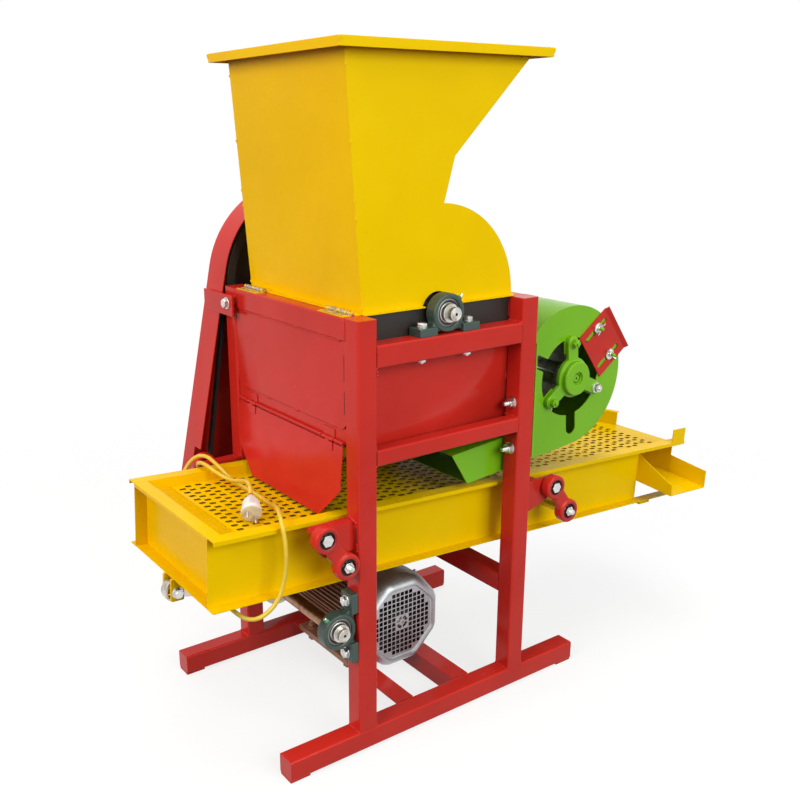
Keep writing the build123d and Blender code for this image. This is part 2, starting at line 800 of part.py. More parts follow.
def channel(side):
    top = block(0, tray_length, tray_half - sheet, tray_half + tray_flange, -sheet, 0)
    top += block(0, tray_length, tray_half + tray_flange - sheet, tray_half + tray_flange, -tray_lip, 0)
    wall = block(0, tray_length, web, tray_half, -tray_height, -sheet / 2)
    foot = block(0, tray_length - 30, web, tray_half + tray_flange - 3, -tray_height, -tray_height + sheet)
    body = top + wall + foot
    if side < 0:
        body -= block(spout_start, tray_length + 1, web - 1, tray_half + 0.001, -tray_height + sheet, -sheet)
        edge = tray_half + tray_flange
        body += block(tray_length - 46, tray_length - 2, edge - sheet, edge, -1, 32)
        body = mirror(body, about=Plane.XZ)
    return body


link_ends = []
for i in range(2):
    ux = -half_x + link_offset_x + i * link_span * cos(radians(tray_slope))
    uz = link_top_z - i * link_span * sin(radians(tray_slope))
    link_ends.append(((ux, uz), (ux + link_dx, uz + link_dz)))

channels = [tray_place * channel(side) for side in (-1, 1)]
for i in range(2):
    low = link_ends[i][1]
    channels = [c - round_y(low[0], low[1], bolt_r + fit, -tray_half - 1, tray_half + 1) for c in channels]
save("tray_channels", channels)

end_plate = block(end_recess, end_recess + sheet, -web, web, -tray_height, 0)
end_plate += block(0, end_recess + sheet, -web, web, -sheet, 0)
end_plate += block(0, sheet, -web, web, -tray_lip, 0)
end_plate += block(0, end_recess + sheet, -web, web, -tray_height, -tray_height + sheet)
ramp = fold([(end_recess + sheet + ramp_length, -deck_drop - sheet), (end_recess + 1, -sheet)], sheet)
ramp_solid = plate_y(ramp, -web, web)
ramp_cut = block(end_recess + sheet + ramp_length, 400, -200, 200, -200, 50)
end_plate += ramp_solid - ramp_cut
end_plate -= block(-50, 200, -300, 300, 0, 50)
save("tray_end_plate", tray_place * end_plate)

deck_start = end_recess + sheet + ramp_length
deck_end = tray_length + deck_extra
deck = block(deck_start, deck_end, -web, web, -deck_drop - sheet, -deck_drop)
slots = []
column_pitch = (deck_end - deck_start - 60) / slot_columns
for i in range(slot_columns):
    x = deck_start + 30 + (i + 0.5) * column_pitch
    for j in range(slot_rows):
        y = (j - (slot_rows - 1) / 2) * slot_pitch_y + (slot_pitch_y / 4 if i % 2 else -slot_pitch_y / 4)
        slots.append(Pos(x, y, -deck_drop - sheet / 2) * Box(slot_length, slot_width, 3 * sheet))
deck -= slots
save("tray_deck", tray_place * deck)

pan_end = tray_length - 6
pan = block(end_recess + sheet, pan_end, -web, web, -pan_drop - sheet, -pan_drop)
pan += block(pan_end - sheet, pan_end, -web, web, -pan_drop - sheet, -deck_drop - sheet)
save("tray_pan", tray_place * pan)

ears = []
for sy in (-1, 1):
    y0, y1 = sorted((sy * 13.0, sy * 19.0))
    ear = block(-6, 26, y0, y1, -tray_height - 42, -tray_height)
    ears.append(ear - round_y(8, -tray_height - 27, ear_bolt_r + fit, y0 - 1, y1 + 1))
ear_bolt = round_y(8, -tray_height - 27, ear_bolt_r, -20, 30) + hex_y(8, -tray_height - 27, 19, -27, -19)
ear_bolt += hex_y(8, -tray_height - 27, 19, 19, 29)
save("drive_ears", [tray_place * ear for ear in ears], tray_place * ear_bolt)

# Spout on the near side: floor, low left wall and right wall, and the far wing plate at the deck's end
floor_far = -pan_drop - 8.0
floor_line = [(-tray_half - spout_reach, floor_far - sheet), (-web, -pan_drop - sheet)]
spout = plate_x(fold(floor_line, sheet), spout_start, spout_end)
left_wall = outline(
    (-tray_half - spout_reach, floor_far - sheet),
    (-tray_half, -pan_drop - sheet),
    (-tray_half, -pan_drop + 63),
    (-tray_half - spout_reach + 8, floor_far + 26),
    (-tray_half - spout_reach, floor_far + 24),
)
spout += plate_x(left_wall, spout_start, spout_start + sheet)
right_wall = outline(
    (-tray_half - spout_reach, floor_far - sheet),
    (-web, -pan_drop - sheet),
    (-web, -pan_drop + 42),
    (-tray_half - spout_reach, floor_far + 38),
)
spout += plate_x(right_wall, spout_end - sheet, spout_end)
brace_y = -tray_half - 20
brace = block(spout_start - 4, spout_start + 30, brace_y, brace_y + 16, -tray_height - 7, -tray_height)
wing_top = 15.0
wing = outline(
    (-4, -deck_drop),
    (-4, wing_top - 2),
    (-2, wing_top),
    (8, wing_top),
    (8, wing_top - 2),
    (-2, wing_top - 2),
    (-2, -deck_drop),
)
wing_run = 37.0
wing_start = 39.0
wing_span = web - wing_start
wing_length = hypot(wing_run, wing_span)
far_wing = plate_y(wing, -wing_length / 2, wing_length / 2)
far_wing = Rot(0, 0, degrees(atan2(wing_run, wing_span))) * far_wing
far_wing = Pos(deck_end - 23, (web - 1 + wing_start) / 2, 0) * far_wing
far_wing -= block(0, 2000, web, 300, -100, 100)
save("tray_spout", tray_place * spout, tray_place * brace, tray_place * far_wing)

# Swing links with their brackets, bolts and studs
link_y1 = -half_y + 14.5
link_y0 = link_y1 - link_thick
plate_y0 = link_y1 + link_gap
plate_y1 = plate_y0 + 8


def link_arm(top, low):
    tx, tz = top
    lx, lz = low
    angle = degrees(atan2(lz - tz, lx - tx))
    reach = hypot(lx - tx, lz - tz)
    arm = round_y(tx, tz, link_eye_r, link_y0, link_y1) + round_y(lx, lz, link_eye_r, link_y0, link_y1)
    middle = Pos((tx + lx) / 2, (link_y0 + link_y1) / 2, (tz + lz) / 2) * Rot(0, -angle, 0)
    arm += middle * Box(reach, link_thick - 6, 34)
    for x, z in (top, low):
        arm -= round_y(x, z, bush_r, link_y0 - 1, link_y1 + 1)
    return arm


def link_bushes(top, low):
    made = []
    for x, z in (top, low):
        made.append(ring_y(x, z, bush_r - fit, bolt_r + run, link_y0 + 1, link_y1 - 1))
    return made


names = ("left", "right")
brackets = []
studs = []
for i in range(2):
    top, low = link_ends[i]
    near = [link_arm(top, low)] + link_bushes(top, low)
    save("link_near_" + names[i], near)
    save("link_far_" + names[i], [mirror(s, about=Plane.XZ) for s in near])
    tx, tz = top
    if i == 0:
        face = outline(
            (-half_x - 83, tz + 13),
            (-half_x - 83, tz - 20),
            (-half_x - 62, tz - 42),
            (-half_x, tz - 42),
            (-half_x, tz + 13),
        )
        bracket = plate_y(face, plate_y0, plate_y1)
        bracket += block(-half_x - 83, -half_x, plate_y0, -in_y - 1, tz + 5, tz + 13)
    else:
        face = outline(
            (half_x, tz + 18),
            (half_x, tz - 51),
            (tx + 14, tz - 24),
            (tx + 26, tz),
            (tx + 20, tz + 18),
        )
        bracket = plate_y(face, plate_y0, plate_y1)
        bracket += block(half_x, tx - 30, plate_y0, -in_y - 1, tz + 10, tz + 18)
    bracket -= round_y(tx, tz, bolt_r + fit, plate_y0 - 1, plate_y1 + 1)
    brackets.extend(both_sides(bracket))
    bolt = round_y(tx, tz, bolt_r, link_y0 - 2, plate_y1) + hex_y(tx, tz, 24, link_y0 - 10, link_y0 - seat)
    bolts.extend(both_sides(bolt))
    lx, lz = low
    stud = round_y(lx, lz, bolt_r, link_y0 - 11, -web)
    stud += round_y(lx, lz, 11, link_y1 + seat, -tray_half - 10)
    stud += hex_y(lx, lz, 24, link_y0 - 9, link_y0 - seat)
    stud += hex_y(lx, lz, 24, -tray_half - 14, -tray_half)
    studs.extend(both_sides(stud))
save("link_brackets", brackets)
save("tray_studs", studs)

# Countershaft, eccentric and connecting rod
counter_rod = round_y(counter_x, counter_z, shaft_r, shaft_near_y + 4, shaft_far_y)
save("countershaft", counter_rod, [shaft_collar(counter_x, counter_z, sy * post_y) for sy in (-1, 1)])
ecc_x = counter_x + throw
cam = round_y(ecc_x, counter_z, eccentric_r, -11, 11) + round_y(counter_x, counter_z, 21, -30, -11)
cam += round_y(ecc_x, counter_z, eccentric_r + 4, 11, 14)
save("eccentric", cam - round_y(counter_x, counter_z, shaft_r + fit, -40, 40))
ear_spot = tray_place * Pos(8, 0, -tray_height - 27)
end_x = ear_spot.position.X
end_z = ear_spot.position.Z - 2.0
rod_angle = atan2(end_z - counter_z, end_x - ecc_x)
rod_length = hypot(end_x - ecc_x, end_z - counter_z)
rod_middle = Pos((ecc_x + end_x) / 2, 0, (counter_z + end_z) / 2) * Rot(0, -degrees(rod_angle), 0)
rod = round_y(ecc_x, counter_z, eccentric_r + 12, -9, 9) + round_y(end_x, end_z, rod_end_r + 6, -9, 9)
rod += rod_middle * Box(rod_length, 12, 26)
rod -= round_y(ecc_x, counter_z, eccentric_r + run, -20, 20)
rod -= round_y(end_x, end_z, rod_end_r, -20, 20)
save("connecting_rod", rod)

# Fan casing: round scroll with a flat duct towards the chamber
slope = radians(duct_slope)


def scroll(radius, inset, stop):
    low = (fan_x + radius * sin(slope), fan_z - radius * cos(slope))
    top0 = duct_end_z - inset / cos(slope)
    lip = (stop(duct_lip_x), low[1] - (low[0] - stop(duct_lip_x)) * tan(slope))
    crown = (stop(duct_end_x), top0 + (stop(duct_end_x) - duct_end_x) * tan(slope))
    throat = (fan_x - 56, top0 + (fan_x - 56 - duct_end_x) * tan(slope))
    return Pos(fan_x, fan_z) * Circle(radius) + outline(crown, throat, low, lip)


casing = plate_y(scroll(fan_r, 0, lambda x: x), -fan_half, fan_half)
casing -= plate_y(scroll(fan_r - sheet, sheet, lambda x: x - 60), -fan_half + sheet, fan_half - sheet)
arm_angles = [spider_turn + 90 + 120 * i for i in range(3)]
inlet = Pos(fan_x, fan_z) * Circle(fan_inlet_r)
inlet_run = fan_slot_end_r - fan_slot_width / 2 - spider_disc_r / 2
for degree in arm_angles:
    inlet_slot = Pos(fan_x, fan_z) * Rot(0, 0, degree + 180) * Pos((spider_disc_r + inlet_run) / 2, 0)
    inlet += inlet_slot * SlotCenterToCenter(inlet_run, fan_slot_width)
for degree in arm_angles:
    tab_face = Pos(fan_x, fan_z) * Rot(0, 0, degree) * Pos(fan_inlet_r - 4, 0) * Rectangle(52, 32)
    inlet -= tab_face
for sy in (-1, 1):
    y0, y1 = sorted((sy * (fan_half - 3), sy * (fan_half + 1)))
    casing -= plate_y(inlet, y0, y1)
flange_z0 = fan_bolt_rows[1] - 23
flange_z1 = fan_bolt_rows[0] + 115
for sy in (-1, 1):
    y0, y1 = sorted((sy * (fan_half - sheet), sy * half_y))
    casing += block(half_x, half_x + 3, y0, y1, flange_z0, flange_z1)
    for z in fan_bolt_rows:
        casing -= round_x(sy * post_y, z, 5.2, half_x - 1, half_x + 4)
        fan_bolt = round_x(sy * post_y, z, 5, half_x - tube - 14, half_x + 16)
        fan_bolt += hex_x(sy * post_y, z, 17, half_x - tube - 9, half_x - tube)
        fan_bolt += hex_x(sy * post_y, z, 17, half_x + 3, half_x + 12)
        bolts.append(fan_bolt)
spiders = []
spider_y = -fan_half
arms = None
for degree in arm_angles:
    x, z = polar(fan_x, fan_z, 38, degree)
    arm = Pos(x, spider_y - 5, z) * Rot(0, -degree, 0) * Box(76, 10, 22)
    fx, fz = polar(fan_x, fan_z, spider_arm_r, degree)
    arm += round_y(fx, fz, 15, spider_y - 10, spider_y)
    arms = arm if arms is None else arms + arm
arms += round_y(fan_x, fan_z, 36, spider_y - 22, spider_y)
arms += round_y(fan_x, fan_z, spider_disc_r, spider_y - 10, spider_y)
arms -= round_y(fan_x, fan_z, 21, spider_y - 30, spider_y + 5)
for degree in arm_angles:
    fx, fz = polar(fan_x, fan_z, spider_arm_r, degree)
    arms -= round_y(fx, fz, 4.2, spider_y - 30, spider_y + 5)
    hole = round_y(fx, fz, 4.2, -fan_half - 30, fan_half + 30)
    casing -= hole
    arm_bolt = round_y(fx, fz, 4.0, spider_y - 19, spider_y + 10)
    arm_bolt += hex_y(fx, fz, 13, spider_y - 17, spider_y - 10)
    arm_bolt += hex_y(fx, fz, 13, spider_y + sheet, spider_y + sheet + 6)
    bolts.extend(both_sides(arm_bolt))
bush = ring_y(fan_x, fan_z, 21 - fit, fan_shaft_r + run, spider_y - 20, spider_y - 2)
spiders.extend(both_sides(arms))
spiders.extend(both_sides(bush))
save("fan_bearing_spiders", spiders)
save("fan_shaft", round_y(fan_x, fan_z, fan_shaft_r, spider_y - 24, shaft_far_y))
wheel = round_y(fan_x, fan_z, 24, -fan_half + 22, fan_half - 22)
for i in range(4):
    turn = Pos(fan_x, 0, fan_z) * Rot(0, 90 * i + 20, 0)
    wheel += turn * Pos((impeller_r + 20) / 2, 0, 0) * Box(impeller_r - 20, 2 * fan_half - 44, 3)
for y in (-90, 90):
    wheel += round_y(fan_x, fan_z, 70, y - 2, y + 2)
save("fan_impeller", wheel - round_y(fan_x, fan_z, fan_shaft_r + fit, -300, 300))

# Air shutter: slides outwards along its slots on two studs
slide_deg = 37.0
slide = (cos(radians(slide_deg)), sin(radians(slide_deg)))
stud_spots = ((fan_x + 72, fan_z + 93), (fan_x + 113, fan_z + 33))
shutter_mid = (fan_x + 90, fan_z + 60)
shutter_place = Pos(shutter_mid[0], 0, shutter_mid[1]) * Rot(0, -slide_deg, 0)
shutter_y1 = -fan_half - seat
shutter_y0 = shutter_y1 - 2.5
shutter = shutter_place * block(-46, 46, shutter_y0, shutter_y1, -57, 57)
shutter += shutter_place * block(44, 46.5, shutter_y0 - 14, shutter_y1, -57, 57)
stud_r = 4.0
slot_half = stud_r + 0.4
slot_run = shutter_travel + shutter_slot_end + shutter_slot_back
slot_shift = slot_run / 2 - shutter_slot_back
for x, z in stud_spots:
    slot_middle = Pos(x - slide[0] * slot_shift, z - slide[1] * slot_shift) * Rot(0, 0, slide_deg)
    long_slot = slot_middle * SlotCenterToCenter(slot_run, 2 * slot_half)
    shutter -= plate_y(long_slot, shutter_y0 - 1, shutter_y1 + 1)
    casing -= round_y(x, z, stud_r + 0.2, -fan_half - 1, -fan_half + 4)
    shutter_stud = round_y(x, z, stud_r, -fan_half - 26, -fan_half + 9)
    shutter_stud += hex_y(x, z, 13, -fan_half + sheet, -fan_half + sheet + 6)
    bolts.append(shutter_stud)
save("shutter_plate", shutter)
save("fan_casing", casing)
for i in range(2):
    x, z = stud_spots[i]
    nut = round_y(0, 0, 8.5, shutter_y0 - 10 - seat, shutter_y0 - seat)
    nut += Pos(0, shutter_y0 - 12, 0) * Box(34, 12, 4)
    nut -= round_y(0, 0, stud_r + run, shutter_y0 - 40, shutter_y0 + 5)
    save("wing_nut_" + ("upper", "lower")[i], Pos(x, 0, z) * Rot(0, 55, 0) * nut)

# Motor
shell = round_y(motor_x, motor_z, 90, motor_face_y + 66, motor_end_y - 22)
fin_count = 36
fin_y = (motor_face_y + motor_end_y + 44) / 2
fin_length = motor_end_y - motor_face_y - 92
for i in range(fin_count):
    turn = Pos(motor_x, 0, motor_z) * Rot(0, 360 * (i + 0.5) / fin_count, 0)
    shell += turn * Pos(93.5, fin_y, 0) * Box(13, fin_length, 3.2)
shell += round_y(motor_x, motor_z, 98, motor_end_y - 24, motor_end_y - 6)
shell += round_y(motor_x, motor_z, 60, motor_end_y - 7, motor_end_y)
shell += round_y(motor_x, motor_z, 97, motor_face_y + 52, motor_face_y + 68)
for sx in (-1, 1):
    x0, x1 = sorted((sx * 54, sx * 98))
    foot_y0, foot_y1 = motor_foot_rows
    shell += block(x0, x1, foot_y0 - 25, foot_y1 + 25, foot_top, foot_top + 12)
    x2, x3 = sorted((sx * 50, sx * 68))
    shell += block(x2, x3, foot_y0 - 15, foot_y1 + 15, foot_top, motor_z - 62)
    for y in motor_foot_rows:
        shell -= round_z(sx * foot_bolts_x / 2, y, 5.2, 0, motor_z)
        foot_bolt = round_z(sx * foot_bolts_x / 2, y, 5, foot_top - 16, foot_top + 26)
        foot_bolt += hex_z(sx * foot_bolts_x / 2, y, 17, foot_top + 12, foot_top + 21)
        foot_bolt += hex_z(sx * foot_bolts_x / 2, y, 17, foot_top - angle_thick - 8, foot_top - angle_thick)
        bolts.append(foot_bolt)
shell += block(-40, 40, terminal_y - 38, terminal_y + 38, motor_z + 84, motor_z + 106)
shell -= round_y(motor_x, motor_z, motor_shaft_r + 6, -200, 300)
for y0, y1 in ((motor_end_y - 24, motor_end_y - 2), (motor_face_y + 54, motor_face_y + 70)):
    shell += ring_y(motor_x, motor_z, motor_shaft_r + 6.5, motor_shaft_r + run, y0, y1)
save("motor_housing", shell)
cowl = round_y(motor_x, motor_z, cowl_r, motor_face_y, motor_face_y + cowl_length)
cowl -= round_y(motor_x, motor_z, cowl_r - 1.5, motor_face_y + 3, motor_face_y + cowl_length + 1)
grille = []
for i in range(-4, 5):
    for j in range(-4, 5):
        if 22 < hypot(i, j) * 16 < 72:
            grille.append(Pos(motor_x + i * 16, motor_face_y, motor_z + j * 16) * Box(11, 12, 11))
cowl -= grille
cowl += ring_y(motor_x, motor_z, cowl_r - 1, 97, motor_face_y + 54, motor_face_y + 58)
save("motor_cowl", cowl)
save("motor_shaft", round_y(motor_x, motor_z, motor_shaft_r, motor_face_y + 12, shaft_far_y))
cooler = round_y(motor_x, motor_z, 26, motor_face_y + 14, motor_face_y + 44)
for i in range(7):
    turn = Pos(motor_x, 0, motor_z) * Rot(0, 360 * i / 7, 0)
    cooler += turn * Pos(52, motor_face_y + 29, 0) * Box(64, 26, 3)
cooler += round_y(motor_x, motor_z, 84, motor_face_y + 40, motor_face_y + 44)
save("cooling_fan", cooler - round_y(motor_x, motor_z, motor_shaft_r + fit, -300, 300))
box_z0 = motor_z + 106
terminal = block(-46, 46, terminal_y - 44, terminal_y + 44, box_z0, box_z0 + 36)
terminal = fillet(terminal.edges().filter_by(Axis.Z), 6)
save("terminal_box", terminal)
gland_z = box_z0 + 12
gland = round_x(terminal_y, gland_z, 9, -60, -46) + hex_x(terminal_y, gland_z, 22, -66, -56)
gland += round_x(terminal_y, gland_z, 8, -72, -66)
save("cable_gland", gland)

save("frame_bolts", bolts)

# Supply cord: straight runs joined by tangent arcs, and the plug lying on the deck
radii = []
for i in range(1, len(cord_points) - 1):
    a = Vector(*cord_points[i - 1])
    b = Vector(*cord_points[i])
    c = Vector(*cord_points[i + 1])
    turn_deg = (b - a).get_angle(c - b)
    shorter = min((b - a).length, (c - b).length)
    radii.append(0.45 * shorter / tan(radians(turn_deg / 2)))
path = FilletPolyline(*cord_points, radius=radii)
start = Plane(origin=path @ 0, z_dir=path % 0)
cord = sweep(start * Circle(cord_r), path=path)
save("cord", cord)

plug_tail = Vector(*cord_points[-1])
plug_axis = (plug_tail - Vector(*cord_points[-2])).normalized()
plug_plane = Plane(origin=plug_tail, x_dir=plug_axis.cross(Vector(0, 0, 1)), z_dir=plug_axis)
shoulder = plug_length - 26
profile = outline(
    (0, 0),
    (cord_r + 1.2, 0),
    (cord_r + 2.5, 14),
    (plug_r - 4, shoulder - 8),
    (plug_r, shoulder),
    (plug_r, plug_length),
    (0, plug_length),
)
plug = revolve(Plane.XZ * profile, Axis.Z)
for sx in (-1, 1):
    pin = Cylinder(2.4, pin_length, align=(Align.CENTER, Align.CENTER, Align.MIN))
    plug += Pos(sx * pin_spacing / 2, 0, plug_length) * pin
save("plug", plug_plane.location * plug)

# The origin goes on the floor under the middle of the machine, measured without the free cord
fixed_pieces = []
for node, pieces in nodes.items():
    if node not in ("cord", "plug"):
        fixed_pieces.extend(pieces)
box = Compound(fixed_pieces).bounding_box()
shift = Pos(-box.center().X, -box.center().Y, -box.min.Z)
for node, pieces in nodes.items():
    export_step(shift * Compound(pieces), "parts/" + node + ".step")

print("smallest cord bend radius", round(min(radii), 1), "cord length", round(path.length, 0))
print("moved by", round(shift.position.X, 3), round(shift.position.Y, 3), round(shift.position.Z, 3))
print("size", round(box.size.X, 1), round(box.size.Y, 1), round(box.size.Z, 1))
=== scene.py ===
import bpy
import json
from math import atan2, copysign, cos, hypot, pi, radians, sin, sqrt
from mathutils import Matrix, Vector


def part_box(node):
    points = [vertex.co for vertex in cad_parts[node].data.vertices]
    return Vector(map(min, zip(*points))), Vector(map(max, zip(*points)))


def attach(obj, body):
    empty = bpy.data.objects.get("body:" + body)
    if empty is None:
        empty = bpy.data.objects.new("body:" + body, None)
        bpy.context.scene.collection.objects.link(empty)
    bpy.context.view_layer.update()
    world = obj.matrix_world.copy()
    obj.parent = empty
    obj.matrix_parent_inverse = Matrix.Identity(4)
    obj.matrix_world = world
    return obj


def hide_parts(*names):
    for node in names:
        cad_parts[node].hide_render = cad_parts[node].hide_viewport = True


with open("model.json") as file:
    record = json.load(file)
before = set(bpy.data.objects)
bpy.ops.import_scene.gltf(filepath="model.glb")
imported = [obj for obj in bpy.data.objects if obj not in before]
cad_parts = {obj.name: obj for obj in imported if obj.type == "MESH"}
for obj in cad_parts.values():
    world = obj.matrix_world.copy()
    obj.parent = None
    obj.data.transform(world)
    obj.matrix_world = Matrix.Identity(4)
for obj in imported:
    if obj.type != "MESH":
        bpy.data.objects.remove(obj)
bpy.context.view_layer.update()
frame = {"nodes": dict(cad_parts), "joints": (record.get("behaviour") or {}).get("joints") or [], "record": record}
nodes = frame["nodes"]
record = frame["record"]
joints = {joint["name"]: joint for joint in frame["joints"]}
slot_of = {part["node"]: part["material_slot"] for part in record["subparts"]}
body_of = {}
for body, members in record["behaviour"]["bodies"].items():
    for member in members:
        body_of[member] = body

# Lengths are in millimetres in this script, and Blender's are in metres
MM = 0.001


def box_mm(node):
    low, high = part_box(node)
    return low / MM, high / MM


def axis_mm(joint):
    return [value / MM for value in joints[joint]["pos_m"]]


# Places taken from the frame
tube = 40.0
posts_low, posts_high = box_mm("frame_posts")
left_x = posts_low.x
right_x = posts_high.x
post_top = posts_high.z
near_y = posts_low.y + tube / 2
far_y = posts_high.y - tube / 2
mid_y = (near_y + far_y) / 2
post_rows = (near_y, far_y)
rotor_x, _, rotor_z = axis_mm("rotor_spin")
counter_x, _, counter_z = axis_mm("countershaft_spin")
motor_x, _, motor_z = axis_mm("motor_spin")
fan_x, _, fan_z = axis_mm("fan_spin")
foot_top = box_mm("foot_rails")[1].z
panel_x = box_mm("chamber_panels")[0].x
bearing_height = 36.5
rail_top = rotor_z - bearing_height
tray_slope = 3.0
tray_depth = 131.0
tray_low, tray_high = box_mm("tray_channels")
tray_x = tray_low.x + tray_depth * sin(radians(tray_slope))
tray_z = tray_high.z
tray_web = 155.0
sides = (-1, 1)
to_front = ("X", 90)
away = ("X", -90)


# Materials
def linear(code):
    """An sRGB hex colour as linear RGBA."""
    values = []
    for i in (0, 2, 4):
        c = int(code[i:i + 2], 16) / 255
        values.append(c / 12.92 if c <= 0.04045 else ((c + 0.055) / 1.055) ** 2.4)
    return (*values, 1.0)


def add(tree, kind, output, inputs=None, **settings):
    """Adds a shader node, sets its properties, sets or links its sockets, and gives back one output."""
    node = tree.nodes.new("ShaderNode" + kind)
    for name, value in settings.items():
        setattr(node, name, value)
    for name, value in (inputs or {}).items():
        if isinstance(value, bpy.types.NodeSocket):
            tree.links.new(value, node.inputs[name])
        else:
            node.inputs[name].default_value = value
    return node.outputs[output]


def per(size_mm):
    """A pattern's scale from its real size."""
    return 1 / (size_mm * MM)


def surface(name, tones, patches, grain, relief, **constants):
    """Patches of two tones under a fine grain. Gives back the material and its sockets.

    patches: size in mm, detail, and the range over which the first tone turns into the second.
    grain: size in mm and detail. relief: strength and depth in mm.
    """
    material = bpy.data.materials.new(name)
    material.use_nodes = True
    tree = material.node_tree
    shader = tree.nodes["Principled BSDF"]
    place = add(tree, "TexCoord", "Object")
    size, detail, start, end = patches
    share = add(tree, "TexNoise", "Fac", {"Vector": place, "Scale": per(size), "Detail": detail})
    share = add(tree, "MapRange", "Result", {"Value": share, "From Min": start, "From Max": end})
    colour = {0: share, 6: linear(tones[0]), 7: linear(tones[1])}
    colour = add(tree, "Mix", 2, colour, data_type="RGBA")
    tree.links.new(colour, shader.inputs["Base Color"])
    size, detail = grain
    marks = add(tree, "TexNoise", "Fac", {"Vector": place, "Scale": per(size), "Detail": detail})
    strength, depth = relief
    bump = add(tree, "Bump", "Normal", {"Height": marks, "Strength": strength, "Distance": depth * MM})
    tree.links.new(bump, shader.inputs["Normal"])
    for socket, value in constants.items():
        shader.inputs[socket].default_value = value
    return material, tree, shader, place, colour, marks, bump


def enamel(name, main, shade, speck, gloss, shine):
    """Sprayed enamel on steel: cloudy shifts, shallow dents, orange peel and a few dull specks."""
    made = surface(name, (main, shade), (160, 3.0, 0.35, 0.7), (3.5, 2.0), (0.1, 0.25), IOR=1.5)
    material, tree, shader, place, colour, _, peel = made
    specks = add(tree, "TexNoise", "Fac", {"Vector": place, "Scale": per(6), "Detail": 0.5})
    specks = {"Value": specks, "From Min": 0.76, "From Max": 0.82, "To Max": 0.35}
    specks = add(tree, "MapRange", "Result", specks)
    colour = add(tree, "Mix", 2, {0: specks, 6: colour, 7: linear(speck)}, data_type="RGBA")
    tree.links.new(colour, shader.inputs["Base Color"])
    rough = add(tree, "TexNoise", "Fac", {"Vector": place, "Scale": per(30), "Detail": 4.0})
    rough = {"Value": rough, "From Min": 0.3, "From Max": 0.75, "To Min": gloss, "To Max": gloss + 0.14}
    tree.links.new(add(tree, "MapRange", "Result", rough), shader.inputs["Roughness"])
    shader.inputs["Specular IOR Level"].default_value = shine
    dents = add(tree, "TexNoise", "Fac", {"Vector": place, "Scale": per(110), "Detail": 1.0})
    dents = add(tree, "Bump", "Normal", {"Height": dents, "Strength": 0.35, "Distance": 4 * MM})
    tree.links.new(dents, peel.node.inputs["Normal"])
    return material


def chipped_enamel(name, paint, metal, rust):
    """Enamel rubbed off a hinge: patches of bare steel with brown edges show through."""
    chips = (7, 4.0)
    made = surface(name, (paint, rust), (*chips, 0.44, 0.5), chips, (0.4, 0.6), Roughness=0.35)
    material, tree, shader, _, colour, marks, _ = made
    bare = add(tree, "MapRange", "Result", {"Value": marks, "From Min": 0.5, "From Max": 0.54})
    colour = add(tree, "Mix", 2, {0: bare, 6: colour, 7: linear(metal)}, data_type="RGBA")
    tree.links.new(colour, shader.inputs["Base Color"])
    tree.links.new(bare, shader.inputs["Metallic"])
    return material


def cast_paint(name, main, shade, grain_mm, roughness):
    """Paint over a sand casting: grainy surface with the pits painted darker as painted shade, rather dull."""
    tones = (shade, main)
    grain = (grain_mm, 5.0)
    return surface(name, tones, (*grain, 0.35, 0.65), grain, (0.35, 0.5), Roughness=roughness)[0]


def bare_metal(name, main, stain, low, high, grain_mm):
    """Bare or plated steel: metallic, with fine tool marks and faint stains."""
    tones = (main, stain)
    made = surface(name, tones, (14, 5.0, 0.45, 0.75), (grain_mm, 3.0), (0.15, 0.1), Metallic=1.0)
    material, tree, shader, _, _, marks, _ = made
    rough = add(tree, "MapRange", "Result", {"Value": marks, "To Min": low, "To Max": high})
    tree.links.new(rough, shader.inputs["Roughness"])
    return material


def moulded(name, main, shade, roughness, grain_mm, strength):
    """Moulded plastic or rubber: even colour with a fine surface grain."""
    tones = (main, shade)
    dull = {"Roughness": roughness, "IOR": 1.49}
    return surface(name, tones, (22, 4.0, 0.35, 0.7), (grain_mm, 2.0), (strength, 0.2), **dull)[0]


finish = {
    "red_paint": enamel("red_enamel", "C42A22", "BA241B", "8E1812", 0.14, 0.17),
    "black_paint": enamel("black_enamel", "2A2422", "1F1A19", "3A3432", 0.4, 0.3),
    "yellow_paint": enamel("yellow_enamel", "EABC00", "E4B600", "CFA200", 0.22, 0.05),
    "green_paint": enamel("green_enamel", "78B018", "70A814", "5C900E", 0.15, 0.22),
    "housing_iron": cast_paint("green_grey_casting_paint", "3B4D48", "27332F", 2.0, 0.42),
    "bare_steel": bare_metal("bare_steel", "D0CCC8", "A89A8C", 0.22, 0.45, 0.8),
    "zinc_steel": bare_metal("zinc_plated_steel", "D6D7D6", "ABA89E", 0.2, 0.4, 0.6),
    "dark_iron": cast_paint("dark_cast_iron", "3A2E2A", "231B18", 1.6, 0.5),
    "motor_cast": cast_paint("brown_motor_paint", "A87458", "7A4E38", 2.4, 0.38),
    "grey_paint": bare_metal("aluminium_paint", "B9B9BE", "A9A9AE", 0.4, 0.52, 1.5),
    "black_plastic": moulded("black_plastic", "1C1C1C", "262626", 0.5, 0.8, 0.1),
    "belt_rubber": moulded("belt_rubber", "191919", "232120", 0.75, 0.6, 0.3),
    "cord_yellow": moulded("yellow_cable_sheath", "D8B838", "CDAA2C", 0.4, 1.2, 0.08),
    "plug_white": moulded("white_plug_plastic", "DEDAD8", "D2CDCA", 0.3, 1.0, 0.05),
}
red = finish["red_paint"]
yellow = finish["yellow_paint"]
green = finish["green_paint"]
zinc = finish["zinc_steel"]
cream_plastic = moulded("cream_plug_face", "CABFA8", "BDB097", 0.35, 1.0, 0.05)
red_plastic = moulded("red_collar_plastic", "B3211C", "9E1B17", 0.35, 1.0, 0.05)
cap_green = moulded("green_cap_plastic", "2DB35A", "259A4C", 0.4, 1.0, 0.08)
# Near-black rubber for seals, bushes and set screws; the same finish goes into shaft holes and onto the cooling
# fan as painted shade
dark_rubber_and_painted_shade = moulded("dark_rubber_and_painted_shade", "2A2220", "1D1817", 0.6, 0.8, 0.25)
